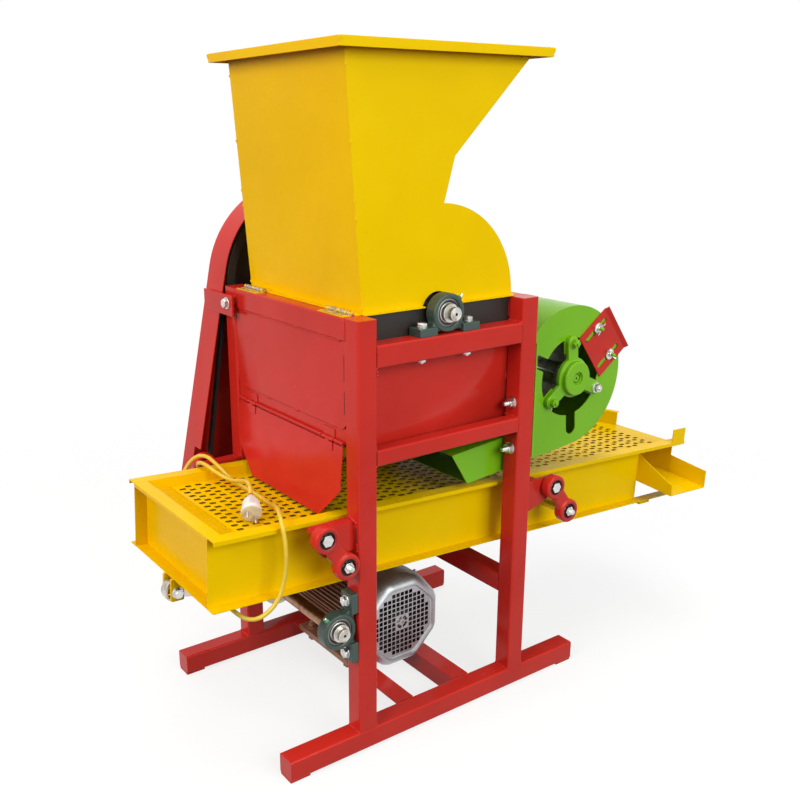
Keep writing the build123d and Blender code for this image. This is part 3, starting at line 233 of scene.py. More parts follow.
# A darker red for the sleeves in the link eyes: painted shade in their recesses
red_sleeve_painted_shade = moulded("shaded_red_sleeve", "8E201B", "6A1613", 0.5, 0.8, 0.25)
# Brown steel for the countershaft's middle, between its bearings
brown_shaft_steel = bare_metal("brown_countershaft_steel", "A87E60", "7A563E", 0.28, 0.42, 0.8)
race_steel = bare_metal("dull_race_steel", "7C7A78", "5C5854", 0.32, 0.46, 0.8)
# Near-black brown for the walls of the sieve's slots: painted shade inside the slots
slot_painted_shade = moulded("slot_wall_painted_shade", "30220A", "201606", 0.9, 1.0, 0.1)
chipped_yellow = chipped_enamel("chipped_yellow_enamel", "E8B800", "C9C4BC", "6B4A22")


# Modelling helpers
def linked(name, data):
    piece = bpy.data.objects.new(name, data)
    bpy.context.scene.collection.objects.link(piece)
    return piece


def only(piece):
    """Makes a piece the one selected and active object."""
    bpy.ops.object.select_all(action="DESELECT")
    piece.select_set(True)
    bpy.context.view_layer.objects.active = piece


def mode(kind):
    bpy.ops.object.mode_set(mode=kind)


def apply_modifier(piece, kind, **settings):
    only(piece)
    modifier = piece.modifiers.new(kind.title(), kind)
    for name, value in settings.items():
        setattr(modifier, name, value)
    bpy.ops.object.modifier_apply(modifier=modifier.name)


def edited(piece, *steps):
    """Runs mesh operators, each with its settings, on the whole of a piece."""
    only(piece)
    mode("EDIT")
    for operator, settings in steps:
        bpy.ops.mesh.select_all(action="SELECT")
        operator(**settings)
    mode("OBJECT")
    return piece


def picked(piece, kind, test):
    """Opens a piece for editing, with only the faces or points selected that pass the test."""
    only(piece)
    mode("EDIT")
    bpy.ops.mesh.select_mode(type=kind)
    bpy.ops.mesh.select_all(action="DESELECT")
    mode("OBJECT")
    for item in piece.data.polygons if kind == "FACE" else piece.data.vertices:
        item.select = test(item.center if kind == "FACE" else item.co)
    mode("EDIT")


def cut_out(piece, test):
    """Removes the faces whose middle, in millimetres, passes the test."""
    picked(piece, "FACE", lambda middle: test(middle / MM))
    bpy.ops.mesh.delete(type="FACE")
    mode("OBJECT")
    return piece


outward = (bpy.ops.mesh.normals_make_consistent, {"inside": False})


def merged(piece):
    """Merges doubled points and turns every face outwards."""
    return edited(piece, (bpy.ops.mesh.remove_doubles, {"threshold": 0.01 * MM}), outward)


def smooth(piece, degrees=32):
    only(piece)
    bpy.ops.object.shade_smooth_by_angle(angle=radians(degrees))
    return piece


def rounded(piece, edge, segments=2):
    """Rounds the hard edges and shades the flats flat."""
    shape = {"width": edge * MM, "segments": segments, "use_clamp_overlap": True}
    apply_modifier(piece, "BEVEL", limit_method="ANGLE", angle_limit=radians(38), **shape)
    smooth(piece)
    apply_modifier(piece, "WEIGHTED_NORMAL", keep_sharp=True, weight=80)
    return piece


def drawn(loops, closed, flat_depth=None):
    """Straight runs through points, as a wire, or filled in the XY plane and given a depth."""
    line = bpy.data.curves.new("drawn", "CURVE")
    line.dimensions = "3D" if flat_depth is None else "2D"
    if flat_depth is not None:
        line.fill_mode = "BOTH"
        line.extrude = flat_depth / 2 * MM
    for loop in loops:
        run = line.splines.new("POLY")
        run.points.add(len(loop) - 1)
        for point, place in zip(run.points, loop):
            x, y, z = (*place, 0.0)[:3]
            point.co = (x * MM, y * MM, z * MM, 1.0)
        run.use_cyclic_u = closed
    only(linked("drawn", line))
    bpy.ops.object.convert(target="MESH")
    return bpy.context.object


def flat(loops, thick, edge=0.6, segments=2):
    """A plate in the XY plane, centred on z = 0: an outer loop and its holes, with rounded edges."""
    piece = merged(drawn(loops, True, thick))
    if edge:
        rounded(piece, edge, segments)
    return piece


def grid(x_lines, y_lines):
    """A flat sheet with its points where the lines cross."""
    columns = len(x_lines) - 1
    rows = len(y_lines) - 1
    bpy.ops.object.select_all(action="DESELECT")
    bpy.ops.mesh.primitive_grid_add(x_subdivisions=columns, y_subdivisions=rows, size=1.0, location=(0, 0, 0))
    sheet = bpy.context.object
    for vertex in sheet.data.vertices:
        x = x_lines[round((vertex.co.x + 0.5) * columns)]
        y = y_lines[round((vertex.co.y + 0.5) * rows)]
        vertex.co = Vector((x, y, 0)) * MM
    return sheet


def mirrored(points):
    """A profile from its upper half."""
    return [(radius, -height) for radius, height in points] + points[::-1]


def turned(profile, steps=40, material=None, closed=False):
    """A shape turned about Z from (radius, height) points."""
    piece = drawn([[(radius, 0.0, height) for radius, height in profile]], closed)
    spin = {"steps": steps, "angle": 2 * pi, "center": (0, 0, 0), "axis": (0, 0, 1)}
    smooth(merged(edited(piece, (bpy.ops.mesh.spin, spin))), 40)
    return painted(piece, material) if material else piece


def at(x, y, z, *turns):
    """A place with turns in degrees, the first one outermost."""
    matrix = Matrix.Translation(Vector((x, y, z)) * MM)
    for axis, degrees in turns:
        matrix = matrix @ Matrix.Rotation(radians(degrees), 4, axis)
    return matrix


def placed(piece, matrix):
    piece.data.transform(matrix)
    piece.data.update()
    return piece


def copied(piece, matrix):
    return placed(linked(piece.name, piece.data.copy()), matrix)


def dropped(piece):
    bpy.data.objects.remove(piece, do_unlink=True)


def spread(model, spots):
    """Copies of a model at several places. The model itself goes."""
    copies = [copied(model, spot) for spot in spots]
    dropped(model)
    return copies


def rod(a, b, radius):
    """A thin round bar between two points."""
    a = Vector(a)
    b = Vector(b)
    length = (b - a).length
    piece = turned([(0, 0), (radius, 0), (radius, length), (0, length)], 10)
    turn = (b - a).to_track_quat("Z", "Y").to_matrix().to_4x4()
    return placed(piece, Matrix.Translation(a * MM) @ turn)


def painted(piece, material):
    piece.data.materials.clear()
    piece.data.materials.append(material)
    return piece


def painted_where(piece, material, test):
    """Paints the faces whose middle, in millimetres, passes the test."""
    piece.data.materials.append(material)
    index = len(piece.data.materials) - 1
    for face in piece.data.polygons:
        if test(face.center / MM):
            face.material_index = index


def joined(name, pieces):
    only(pieces[0])
    for piece in pieces:
        piece.select_set(True)
    bpy.ops.object.join()
    whole = bpy.context.object
    whole.name = name
    return whole


def dress(piece, body, slot, *stands_for):
    """Attaches a piece to its body and hides the frame nodes that it stands for. The slot is not used."""
    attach(piece, body)
    if stands_for:
        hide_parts(*stands_for)
    return piece


def stands_for(piece, node):
    return dress(piece, body_of[node], slot_of[node], node)


def extra(name, parts, body, slot):
    """A piece that stands for no node, in its slot's finish."""
    return dress(painted(joined(name, parts), finish[slot]), body, slot)


def cast_form(name, pieces, voxel_mm, passes=6):
    """Lumps run together into one casting with soft inner corners."""
    whole = joined(name, pieces)
    apply_modifier(whole, "REMESH", mode="VOXEL", voxel_size=voxel_mm * MM, use_smooth_shade=True)
    apply_modifier(whole, "SMOOTH", factor=0.5, iterations=passes)
    apply_modifier(whole, "DECIMATE", ratio=0.5)
    return whole


def bored(piece, cutter):
    """Cuts a hole and removes its cutter."""
    apply_modifier(piece, "BOOLEAN", operation="DIFFERENCE", object=cutter, solver="EXACT")
    dropped(cutter)
    return smooth(piece, 40)


def softened(node, edge=0.8, segments=2, reshape=None):
    """A copy of a frame node with its hard edges rounded, standing for the node."""
    piece = linked(node + "_finish", nodes[node].data.copy())
    only(piece)
    bpy.ops.mesh.customdata_custom_splitnormals_clear()
    doubles = (bpy.ops.mesh.remove_doubles, {"threshold": 0.02 * MM})
    edited(piece, doubles, (bpy.ops.mesh.dissolve_limited, {"angle_limit": radians(0.5)}))
    if reshape:
        for vertex in piece.data.vertices:
            vertex.co = reshape(vertex.co / MM) * MM
    rounded(piece, edge, segments)
    painted(piece, finish[slot_of[node]])
    return stands_for(piece, node)


# Outlines
def arc(x, y, radius, start, end, steps):
    points = []
    for i in range(steps + 1):
        angle = radians(start + (end - start) * i / steps)
        points.append((x + radius * cos(angle), y + radius * sin(angle)))
    return points


def circle(radius, steps):
    return arc(0, 0, radius, 0, 360 - 360 / steps, steps - 1)


def rectangle(x0, x1, y0, y1, corner=0.0):
    if not corner:
        return [(x0, y0), (x1, y0), (x1, y1), (x0, y1)]
    right = x1 - corner
    left = x0 + corner
    low = y0 + corner
    high = y1 - corner
    points = []
    for x, y, start in ((right, low, -90), (right, high, 0), (left, high, 90), (left, low, 180)):
        points += arc(x, y, corner, start, start + 90, 5)
    return points


# Fasteners: the seat is at z = 0 and the bolt points up
washer_thick = 2.0


def thread(radius, low, high, pitch=1.5):
    """A threaded rod end with a chamfered tip."""
    profile = [(0, low)]
    height = low
    while height < high - pitch * 1.5:
        profile += [(radius - 0.5, height), (radius, height + pitch / 2)]
        height += pitch
    profile += [(radius - 0.4, height), (radius - 1.2, high), (0, high)]
    return turned(profile, 20, zinc)


def washer(outer, inner, low, high):
    soft = 0.4
    profile = [(inner, low), (outer, low), (outer, high - soft), (outer - soft, high), (inner, high)]
    return turned(profile, 28, zinc, True)


def hex_block(flats, low, high):
    piece = flat([circle(flats / sqrt(3), 6)], high - low, 0.9)
    return painted(placed(piece, at(0, 0, (low + high) / 2)), zinc)


def nut_set(flats, height, radius, tip, washer_r):
    """A washer, a nut and the end of its stud."""
    top = washer_thick + height
    parts = [washer(washer_r, radius - 1, 0, washer_thick), hex_block(flats, washer_thick, top)]
    return joined("nut_set", parts + [thread(radius, top - 1, top + tip)])


def head_set(flats, height, washer_r):
    """A washer and a bolt head with a dished face."""
    top = washer_thick + height
    dish = [(0, top - 0.5), (flats * 0.4, top - 0.5), (flats * 0.36, top + 0.5), (0, top + 0.5)]
    parts = [washer(washer_r, 1.0, 0, washer_thick), hex_block(flats, washer_thick, top)]
    return joined("head_set", parts + [turned(dish, 28, zinc)])


# Camera at the photograph's viewing angle, fitted to the square frame
photo_width = 800
focal_px = 941.24
centre_px = (360.81, 407.96)
sensor_mm = 36.0
camera_place = (-1.2351, -1.5089, 1.1269)
camera_turn = -34.984
camera_dip = 16.465
camera_roll = -0.31
lens = bpy.data.cameras.new("photo_camera")
lens.sensor_width = sensor_mm
lens.lens = focal_px * sensor_mm / photo_width
lens.shift_x = (photo_width / 2 - centre_px[0]) / photo_width
lens.shift_y = (centre_px[1] - photo_width / 2) / photo_width
lens.clip_start = 0.05
lens.clip_end = 60.0
camera = linked("photo_camera", lens)
view = at(0, 0, 0, ("Z", camera_turn), ("X", 90 - camera_dip), ("Z", camera_roll))
camera.matrix_world = Matrix.Translation(camera_place) @ view
bpy.context.scene.camera = camera

# Supply cord: the same points as the frame's tube, on one smooth spline
cord_radius = 4.0
cord_shift = (-161.696, -28.42, 0.0)
cord_points = [
    (-72, 150, 262), (-132, 150, 262), (-190, 130, 288), (-248, 92, 314), (-306, 46, 328),
    (-360, -10, 332), (-402, -76, 334), (-420, -140, 330), (-398, -188, 314), (-356, -200, 340),
    (-337, -200, 392), (-335, -202, 446), (-337, -191, 490), (-318, -147, 494), (-294, -98, 476),
    (-275, -46, 457), (-266, 10, 453), (-269, 60, 453.5), (-281, 104, 463), (-288, 140, 481),
    (-296, 182, 496), (-314, 210, 484), (-338, 216, 444), (-356, 213, 392), (-326, 208, 368),
    (-294, 205, 384), (-293, 206, 422), (-301, 206, 455), (-312, 190, 480), (-311, 158, 487),
    (-300, 122, 473), (-288, 78, 468), (-291, 30, 486), (-300.4, -13.8, 497), (-313, -38, 489.4),
]
line = bpy.data.curves.new("supply_cord", "CURVE")
line.dimensions = "3D"
line.bevel_depth = cord_radius * MM
line.bevel_resolution = 5
line.resolution_u = 10
line.use_fill_caps = True
spline = line.splines.new("NURBS")
spline.points.add(len(cord_points) - 1)
route = [(Vector(place) + Vector(cord_shift)) * MM for place in cord_points]
for point, place in zip(spline.points, route):
    point.co = (*place, 1.0)
spline.order_u = 3
spline.use_endpoint_u = True
cord = linked("supply_cord", line)
painted(cord, finish["cord_yellow"])
stands_for(cord, "cord")


def supply_plug():
    """Round two-pin plug: cone with a flat on two sides, cream face, red ring where the cord goes in."""
    length = 66.0
    neck = 15.0
    flat_half = 11.5
    flat_end = 53.0
    pin_gap = 9.5
    roll = -41.0
    sheath = [(0, -1), (cord_radius, -1), (cord_radius, neck), (0, neck)]
    grip = [(0, neck), (4.6, neck), (6, neck + 0.8), (9.5, 22), (12.7, 29), (15.8, 35), (16.6, 42)]
    grip += [(17.6, 50), (18.8, 56), (19, 59), (19, length - 4), (18.2, length - 2), (0, length - 2)]
    grip = turned(grip, 64, finish["plug_white"])
    for vertex in grip.data.vertices:
        if vertex.co.z < flat_end * MM:
            vertex.co.y = max(-flat_half * MM, min(flat_half * MM, vertex.co.y))
    ring = [(4.1, -4), (5, -4), (5.4, -3), (5.4, 0.5), (4.1, 0.5)]
    face = [(0, -3), (17.6, -3), (17.6, -0.6), (17, 0), (0, 0)]
    well = [(2.6, -1), (4.6, -1), (4.6, 0.2), (2.6, 0.2)]
    pin = [(0, -1), (2.4, -1), (2.4, 16.5), (1.5, 19), (0, 19)]
    parts = [turned(sheath, 24, finish["cord_yellow"]), smooth(grip, 30)]
    parts.append(placed(turned(face, 48, cream_plastic), at(0, 0, length)))
    parts.append(placed(turned(ring, 32, red_plastic, True), at(0, 0, neck)))
    pin_places = [at(side * pin_gap, 0, length) for side in sides]
    parts += spread(turned(well, 24, cream_plastic, True), pin_places)
    parts += spread(turned(pin, 20, zinc), pin_places)
    plug = joined("supply_plug", parts)
    axis = (route[-1] - route[-2]).normalized()
    side = axis.cross(Vector((0, 0, 1))).normalized()
    turn = Matrix((side, axis.cross(side), axis)).transposed().to_4x4()
    placed(plug, Matrix.Translation(route[-1]) @ turn @ at(0, 0, 0, ("Z", roll)))
    return stands_for(plug, "plug")


supply_plug()

# Sheet, tube and turned pieces keep their shape and get rounded edges
plain_nodes = (
    "motor_rails chamber_panels chamber_plates link_brackets flap_plate hopper_front_plate hopper_back_plate "
    "drum_cover hopper_rim tray_channels tray_pan tray_spout concave_grate rotor_bars rotor_pulley "
    "countershaft_pulley fan_pulley motor_pulley eccentric connecting_rod fan_impeller motor_housing "
    "cable_gland motor_belt main_belt fan_belt"
)
softened("frame_posts", 2.6, 3)
softened("frame_rails", 1.8, 3)
softened("foot_rails", 1.8, 3)
for node in plain_nodes.split():
    softened(node)
softened("fan_casing", 1.1, 3)
# The cooling fan is painted near-black and the rotor discs black: painted shade, so that what shows through the
# grille and the guard stays dark
painted(softened("cooling_fan"), dark_rubber_and_painted_shade)
painted(softened("rotor_discs"), finish[slot_of["chamber_plates"]])

# Hopper sides: their cut-outs and lips come close to the bearing rings
hopper_foot = box_mm("hopper_side_plates")[0].z - rotor_z
cut_r = 38.0
close_r = 34.0
lip_gap = 41.0
lip_high = 6.0
slack = 0.5


def closed_in(spot):
    side = 1 if spot.x > rotor_x else -1
    across = abs(spot.x - rotor_x)
    up = spot.z - rotor_z
    if abs(hypot(across, up) - cut_r) < slack:
        up = hopper_foot + (up - hopper_foot) * (close_r - hopper_foot) / (cut_r - hopper_foot)
        across = sqrt(max(close_r ** 2 - up ** 2, 0))
    elif abs(across - lip_gap) < slack and up < hopper_foot + lip_high:
        across = close_r
    return Vector((rotor_x + side * across, spot.y, rotor_z + up))


softened("hopper_side_plates", reshape=closed_in)

# Tray ramp: ends where the sieve's first slots are
frame_ramp_end = 86.0
ramp_end = 75.0
ramp_foot = 78.0


def shortened_ramp(spot):
    along = Vector((cos(radians(tray_slope)), 0, -sin(radians(tray_slope))))
    past = (spot - Vector((tray_x, 0, tray_z))).dot(along)
    return spot + along * (ramp_end - frame_ramp_end) if past > ramp_foot else spot


softened("tray_end_plate", reshape=shortened_ramp)

# Guard strap: reaches past its bolt towards the viewer, with the bolt near its end
strap_z = rotor_z - 25
strap_half = 22.0
strap_out = 9.0
strap_bolt_y = far_y + 10
strap_hole_r = 7.0
strap_end_y = far_y - 12
strap_reach = 20.0
strap_bolt_shift = Vector((0.0, -24.0, 4.0))


def lengthened_strap(spot):
    if left_x - strap_out < spot.x < right_x + strap_out or abs(spot.z - strap_z) > strap_half:
        return spot
    if hypot(spot.y - strap_bolt_y, spot.z - strap_z) < strap_hole_r:
        return spot + strap_bolt_shift
    return spot - Vector((0, strap_reach, 0)) if spot.y < strap_end_y else spot


softened("belt_guard", reshape=lengthened_strap)

# Hinges: those of the flap are painted over, those of the hopper are chipped at the knuckles
pin_x, _, pin_z = axis_mm("hopper_tilt")
knuckle_r = 5.0
for node in ("fixed_hinges", "hopper_hinges_moving", "flap_hinges_moving"):
    piece = softened(node, 0.4)
    painted_where(piece, yellow, lambda spot: spot.z > rail_top)
    painted_where(piece, red, lambda spot: spot.z < rail_top)
    painted_where(piece, chipped_yellow, lambda spot: hypot(spot.x - pin_x, spot.z - pin_z) < knuckle_r)


def flap_roll():
    """Rolled top edge of the flap, beside and between its hinges."""
    x, _, z = axis_mm("flap_swing")
    low, high = box_mm("flap_plate")
    outer = 3.7
    inner = 2.2
    hinge = 140.0
    room = 20.0
    section = arc(0, 0, outer, -100, 170, 16) + arc(0, 0, inner, 170, -100, 16)
    ends = [low.y]
    for side in sides:
        ends += [mid_y + side * hinge - room, mid_y + side * hinge + room]
    ends.append(high.y)
    parts = []
    for y0, y1 in zip(ends[::2], ends[1::2]):
        parts.append(placed(flat([section], y1 - y0, 0.3, 1), at(x, (y0 + y1) / 2, z, to_front)))
    extra("flap_roll", parts, "flap", "red_paint")


flap_roll()

# Pillow blocks: base on z = 0 and shaft along Y, on the top rails and on the left posts
housing_length = 140.0
housing_width = 34.0
housing_bolts = 52.5
ring_r = 34.5
ring_half = 12.5
insert_r = 26.0
pad_top = 15.0
nipple_tilt = 50.0
nipple_forward = 5.0
pillow_places = [at(rotor_x, y, rail_top) for y in post_rows]
pillow_places += [at(left_x, y, counter_z, ("Y", -90)) for y in post_rows]
bearing_spot = at(0, 0, bearing_height, to_front)


def pillow_housings():
    """Cast housings: two block feet, an arch between them, and a ring with a grease nipple."""
    half = housing_length / 2 - 1.5
    foot_inner = 29.0
    lumps = []
    for side in sides:
        ends = sorted((side * foot_inner, side * half))
        foot = rectangle(*ends, -housing_width / 2, housing_width / 2, 2)
        lumps.append(placed(flat([foot], pad_top, 1.5), at(0, 0, pad_top / 2)))
    flank = [(31 + 9 * (1 - i / 8) ** 2.4, 5 + 31.5 * i / 8) for i in range(9)]
    neck = flank + [(-x, z) for x, z in reversed(flank)]
    lumps.append(placed(flat([neck], 19, 1.0), at(0, 0, 0, to_front)))
    barrel = mirrored([(0, ring_half), (ring_r - 1.5, ring_half), (ring_r, ring_half - 1.5)])
    lumps.append(placed(turned(barrel, 72), bearing_spot))
    nipple_spot = at(0, -nipple_forward, bearing_height, ("Y", nipple_tilt))
    boss = [(0, 28), (6.5, 28), (5.5, ring_r + 1.5), (4.5, ring_r + 3), (0, ring_r + 3)]
    lumps.append(placed(turned(boss), nipple_spot))
    casting = cast_form("pillow_casting", lumps, 1.1, 2)
    bore = mirrored([(0, 30), (28, 30), (28, 12), (insert_r, 10.6)])
    bored(casting, placed(turned(bore, 64), bearing_spot))
    arch = [(-foot_inner, -2), (foot_inner, -2)] + arc(0, -136, 140, 77.2, 102.8, 12)
    bored(casting, placed(flat([arch], 60, 0), at(0, 0, 0, to_front)))
    painted(casting, finish["housing_iron"])
    cap = [(0, -2), (4, -2), (4, 2), (3.2, 3), (0, 3)]
    tip = [(0, 2), (2.8, 2), (2.6, 6.4), (3.3, 7.6), (2.4, 9.2), (0, 9.2)]
    nipple = joined("nipple", [turned(cap, 24, cap_green), turned(tip, 20, zinc)])
    placed(nipple, nipple_spot @ at(0, 0, ring_r + 2))
    parts = spread(casting, pillow_places) + spread(nipple, pillow_places)
    stands_for(joined("pillow_castings", parts), "pillow_housings")


def bearing_inserts():
    race = mirrored([(22.6, 9.8), (24.8, 9.8), (25.9, 8.9)])
    seal = mirrored([(18.8, 8), (22.8, 8.8)])
    insert = joined("insert", [turned(race, 56, race_steel, True), turned(seal, 56, dark_rubber_and_painted_shade, True)])
    parts = spread(placed(insert, bearing_spot), pillow_places)
    stands_for(joined("bearing_races", parts), "bearing_inserts")


def collared_shaft(node, x, z):
    """A ground shaft with a stepped, centred end and a locking collar at each bearing."""
    low, high = box_mm(node)
    front = -low.y
    back = -high.y
    bar_r = 12.5
    collar_in = 12.55
    hole_r = 2.8
    screw_out = 12.6
    inner = (far_y - ring_half - 3, near_y + ring_half + 3)
    bar = [(0, back), (bar_r - 1.5, back), (bar_r, back + 1.5), (bar_r, -inner[0]), (bar_r, -inner[1])]
    bar += [(bar_r, front - 1), (bar_r - 1, front)]
    bar += [(9.8, front), (9.3, front - 0.6), (8.8, front), (6.4, front), (6, front - 0.5), (5.6, front)]
    bar += [(hole_r, front), (hole_r - 0.6, front - 3), (0, front - 3)]
    sleeve = mirrored([(collar_in, 17), (16.2, 17), (17, 16.2)])
    ring = mirrored([(collar_in, 8.5), (17.6, 8.5), (18.4, 7.8)])
    parts = [turned(bar, 48)]
    for profile in (sleeve, ring):
        parts += spread(turned(profile, 48, closed=True), [at(0, 0, -y) for y in post_rows])
    shaft = painted(joined(node + "_turned", parts), finish["bare_steel"])
    # The centre hole in the shaft's end is painted near-black: painted shade in the hole
    painted_where(shaft, dark_rubber_and_painted_shade, lambda spot: hypot(spot.x, spot.y) < hole_r and spot.z > front - 4)
    painted_where(shaft, brown_shaft_steel, lambda spot: node == "countershaft" and inner[1] < -spot.z < inner[0])
    screw = [(0, 15.8), (1.6, 15.8), (1.6, 17.1), (3, 17.1), (3, 15), (0, 15)]
    spots = []
    for height in (screw_out - near_y, -screw_out - far_y):
        spots += [at(0, 0, height, ("Z", degrees), ("Y", 90)) for degrees in (20, 140)]
    screws = spread(turned(screw, 20, dark_rubber_and_painted_shade), spots)
    shaft = joined(node + "_turned", [shaft] + screws)
    stands_for(placed(shaft, at(x, 0, z, to_front)), node)


pillow_housings()
bearing_inserts()
collared_shaft("rotor_shaft", rotor_x, rotor_z)
collared_shaft("countershaft", counter_x, counter_z)

# Swing links: cast arms with rubber bushes, bolt heads above and nuts below
link_nodes = ("link_near_left", "link_near_right", "link_far_left", "link_far_right")
link_dx = 42.5
link_dz = -61.5
eye_r = 25.0
bush_r = 18.0
bush_recess = 8.5
link_half = 11.0


def swing_links():
    eyes = [at(0, 0, 0, to_front), at(link_dx, 0, link_dz, to_front)]
    eye = mirrored([(0, link_half), (eye_r - 2.5, link_half), (eye_r, link_half - 2.5)])
    lumps = spread(turned(eye, 48), eyes)
    reach = hypot(link_dx, link_dz)
    waist = [(reach * i / 8, 15.5 + 3 * (i / 4 - 1) ** 2) for i in range(9)]
    web = flat([waist + [(x, -y) for x, y in reversed(waist)]], 15, 3, 3)
    slant = Matrix.Rotation(atan2(-link_dz, link_dx), 4, "Y")
    lumps.append(placed(web, slant @ at(0, 0, 0, to_front)))
    arm = cast_form("link_casting", lumps, 1.3)
    for spot in eyes:
        bored(arm, placed(turned(mirrored([(0, 20), (bush_r, 20)]), 48), spot))
    bush_half = link_half - bush_recess
    sleeve = mirrored([(15.6, 9.4), (17.2, 10), (18.1, 10.4)])
    rubber = mirrored([(8.2, bush_half), (15.8, bush_half)])
    parts = [painted(arm, red)]
    # The sleeves are a darker red, painted shade in each eye's recess; the rubber is near-black
    for profile, material in ((sleeve, red_sleeve_painted_shade), (rubber, dark_rubber_and_painted_shade)):
        parts += spread(turned(profile, 40, material, True), eyes)
    link = joined("link", parts)
    for node in link_nodes:
        x, _, z = axis_mm(node + "_swing")
        low, high = box_mm(node)
        piece = copied(link, at(x, (low.y + high.y) / 2, z))
        piece.name = node + "_casting"
        stands_for(piece, node)
    dropped(link)


def tray_studs():
    """Studs through the tray's walls: shank, spacer, and a nut on the thread in the link's eye."""
    low, high = box_mm("tray_studs")
    shank_r = 8.0
    shank_length = 68.0
    parts = []
    for side in sides:
        out = -low.y if side < 0 else high.y
        facing = to_front if side < 0 else away
        link_low, link_high = box_mm("link_near_left" if side < 0 else "link_far_left")
        outer = -link_low.y if side < 0 else link_high.y
        inner = -link_high.y if side < 0 else link_low.y
        wall = inner - shank_length
        seat = outer - bush_recess + 0.3
        shank = [(0, wall), (shank_r, wall), (shank_r, seat), (0, seat)]
        spacer = [(shank_r, wall + 8), (11, wall + 8), (11, inner - 1), (10, inner - 0.3)]
        spacer.append((shank_r, inner - 0.3))
        stud = [turned(shank, 28, zinc), turned(spacer, 32, zinc, True)]
        stud += [washer(9.2, 5.5, seat, seat + 1.7), hex_block(18.5, seat + 1.7, seat + 9.2)]
        stud.append(thread(6, seat + 8, min(out, seat + 18), 1.75))
        spots = []
        for node in link_nodes[:2]:
            x, _, z = axis_mm(node + "_swing")
            spots.append(at(x + link_dx, 0, z + link_dz, facing))
        parts += spread(joined("stud", stud), spots)
    stands_for(joined("tray_stud_set", parts), "tray_studs")


swing_links()
tray_studs()

# Fan: bearing spiders, shaft, shutter and wing nuts
fan_low, fan_high = box_mm("fan_bearing_spiders")
spider_depth = 22.0
spider_near = fan_low.y + spider_depth
spider_far = fan_high.y - spider_depth
arm_angles = (95, 215, 335)
arm_reach = 74.0
disc_r = 42.0
hub_r = 35.5


def fan_spiders():
    low, high = box_mm("fan_shaft")
    bush_in = (high.z - low.z) / 2 + 0.3
    bush_out = bush_in + 3.2
    disc = [(0, 0), (disc_r, 0), (disc_r, 8.5), (disc_r - 1.5, 10), (0, 10)]
    hub = [(0, 0), (hub_r, 0), (hub_r, spider_depth - 2), (hub_r - 2, spider_depth), (0, spider_depth)]
    arm = rectangle(0, arm_reach + 14, -14, 14, 13.5)
    boss = [(0, 0), (12.5, 0), (12.5, 10.5), (11, 12), (0, 12)]
    ways = [at(0, 0, 0, ("Z", degrees)) for degrees in arm_angles]
    lumps = [turned(disc, 64), turned(hub, 64)]
    lumps += spread(flat([arm], 10, 2.5, 3), [way @ at(0, 0, 5) for way in ways])
    lumps += spread(turned(boss), [way @ at(arm_reach, 0, 0) for way in ways])
    casting = cast_form("spider_casting", lumps, 1.0, 3)
    bore = [(0, -5), (bush_out, -5), (bush_out, spider_depth - 1.5), (bush_out + 1.5, spider_depth + 2)]
    bored(casting, turned(bore + [(0, spider_depth + 2)], 48))
    bush = [(bush_in, 2), (bush_out - 0.1, 2), (bush_out - 0.1, 17), (bush_in, 17)]
    spider = joined("spider", [painted(casting, green), turned(bush, 40, green, True)])
    spots = [at(fan_x, spider_near, fan_z, to_front)]
    spots.append(at(fan_x, spider_far, fan_z, away, ("X", 180), ("Y", 180)))
    stands_for(joined("fan_spider_castings", spread(spider, spots)), "fan_bearing_spiders")


def fan_shaft():
    low, high = box_mm("fan_shaft")
    front = -fan_low.y - 5
    back = -high.y
    radius = (high.z - low.z) / 2
    hole_r = 2.2
    bar = [(0, back), (radius - 1, back), (radius, back + 1), (radius, front - 8), (radius - 1.6, front - 7)]
    bar += [(radius - 1.6, front - 0.6), (radius - 2.2, front), (hole_r, front), (hole_r - 0.5, front - 3)]
    shaft = turned(bar + [(0, front - 3)], 40, finish["bare_steel"])
    shaft.name = "fan_bar"
    painted_where(shaft, green, lambda spot: spot.z > -spider_near)
    # The centre hole in the shaft's end is painted near-black: painted shade in the hole
    painted_where(shaft, dark_rubber_and_painted_shade, lambda spot: spot.z > -spider_near and hypot(spot.x, spot.y) < hole_r)
    stands_for(placed(shaft, at(fan_x, 0, fan_z, to_front)), "fan_shaft")


fan_spiders()
fan_shaft()

shutter_slide = 37.0
shutter_mid = (fan_x + 90, fan_z + 60)
stud_spots = ((fan_x + 72, fan_z + 93), (fan_x + 113, fan_z + 33))
shutter_half = (46.0, 57.0)
shutter_thick = 2.5
shutter_back = box_mm("shutter_plate")[1].y


def shutter():
    """Sliding plate with two round-ended slots and an edge bent towards the viewer."""
    half_u, half_v = shutter_half
    slope = radians(shutter_slide)
    bend = 4.0
    lean = 38.0
    lip_length = 10.0
    slot_half = 5.0
    loops = [rectangle(-half_u, half_u - bend + 0.5, -half_v, half_v)]
    for x, z in stud_spots:
        dx = x - shutter_mid[0]
        dz = z - shutter_mid[1]
        u = dx * cos(slope) + dz * sin(slope)
        v = dz * cos(slope) - dx * sin(slope)
        loops.append(arc(u + 25, v, slot_half, -90, 90, 8) + arc(u - 36, v, slot_half, 90, 270, 8))
    plate = flat(loops, shutter_thick, 0.7)
    outer = arc(half_u - bend, bend, bend, -90, lean - 90, 6)
    inner = arc(half_u - bend, bend, bend - shutter_thick, lean - 90, -90, 6)
    run = Vector((cos(radians(lean)), sin(radians(lean)))) * lip_length
    tips = [tuple(Vector(point) + run) for point in (outer[-1], inner[0])]
    lip = flat([outer + tips + inner], 2 * half_v, 0.5)
    placed(lip, at(0, 0, -shutter_thick / 2, to_front))
    piece = painted(joined("shutter_sheet", [plate, lip]), red)
    middle_y = shutter_back - shutter_thick / 2
    placed(piece, at(shutter_mid[0], middle_y, shutter_mid[1], ("Y", -shutter_slide), to_front))
    stands_for(piece, "shutter_plate")


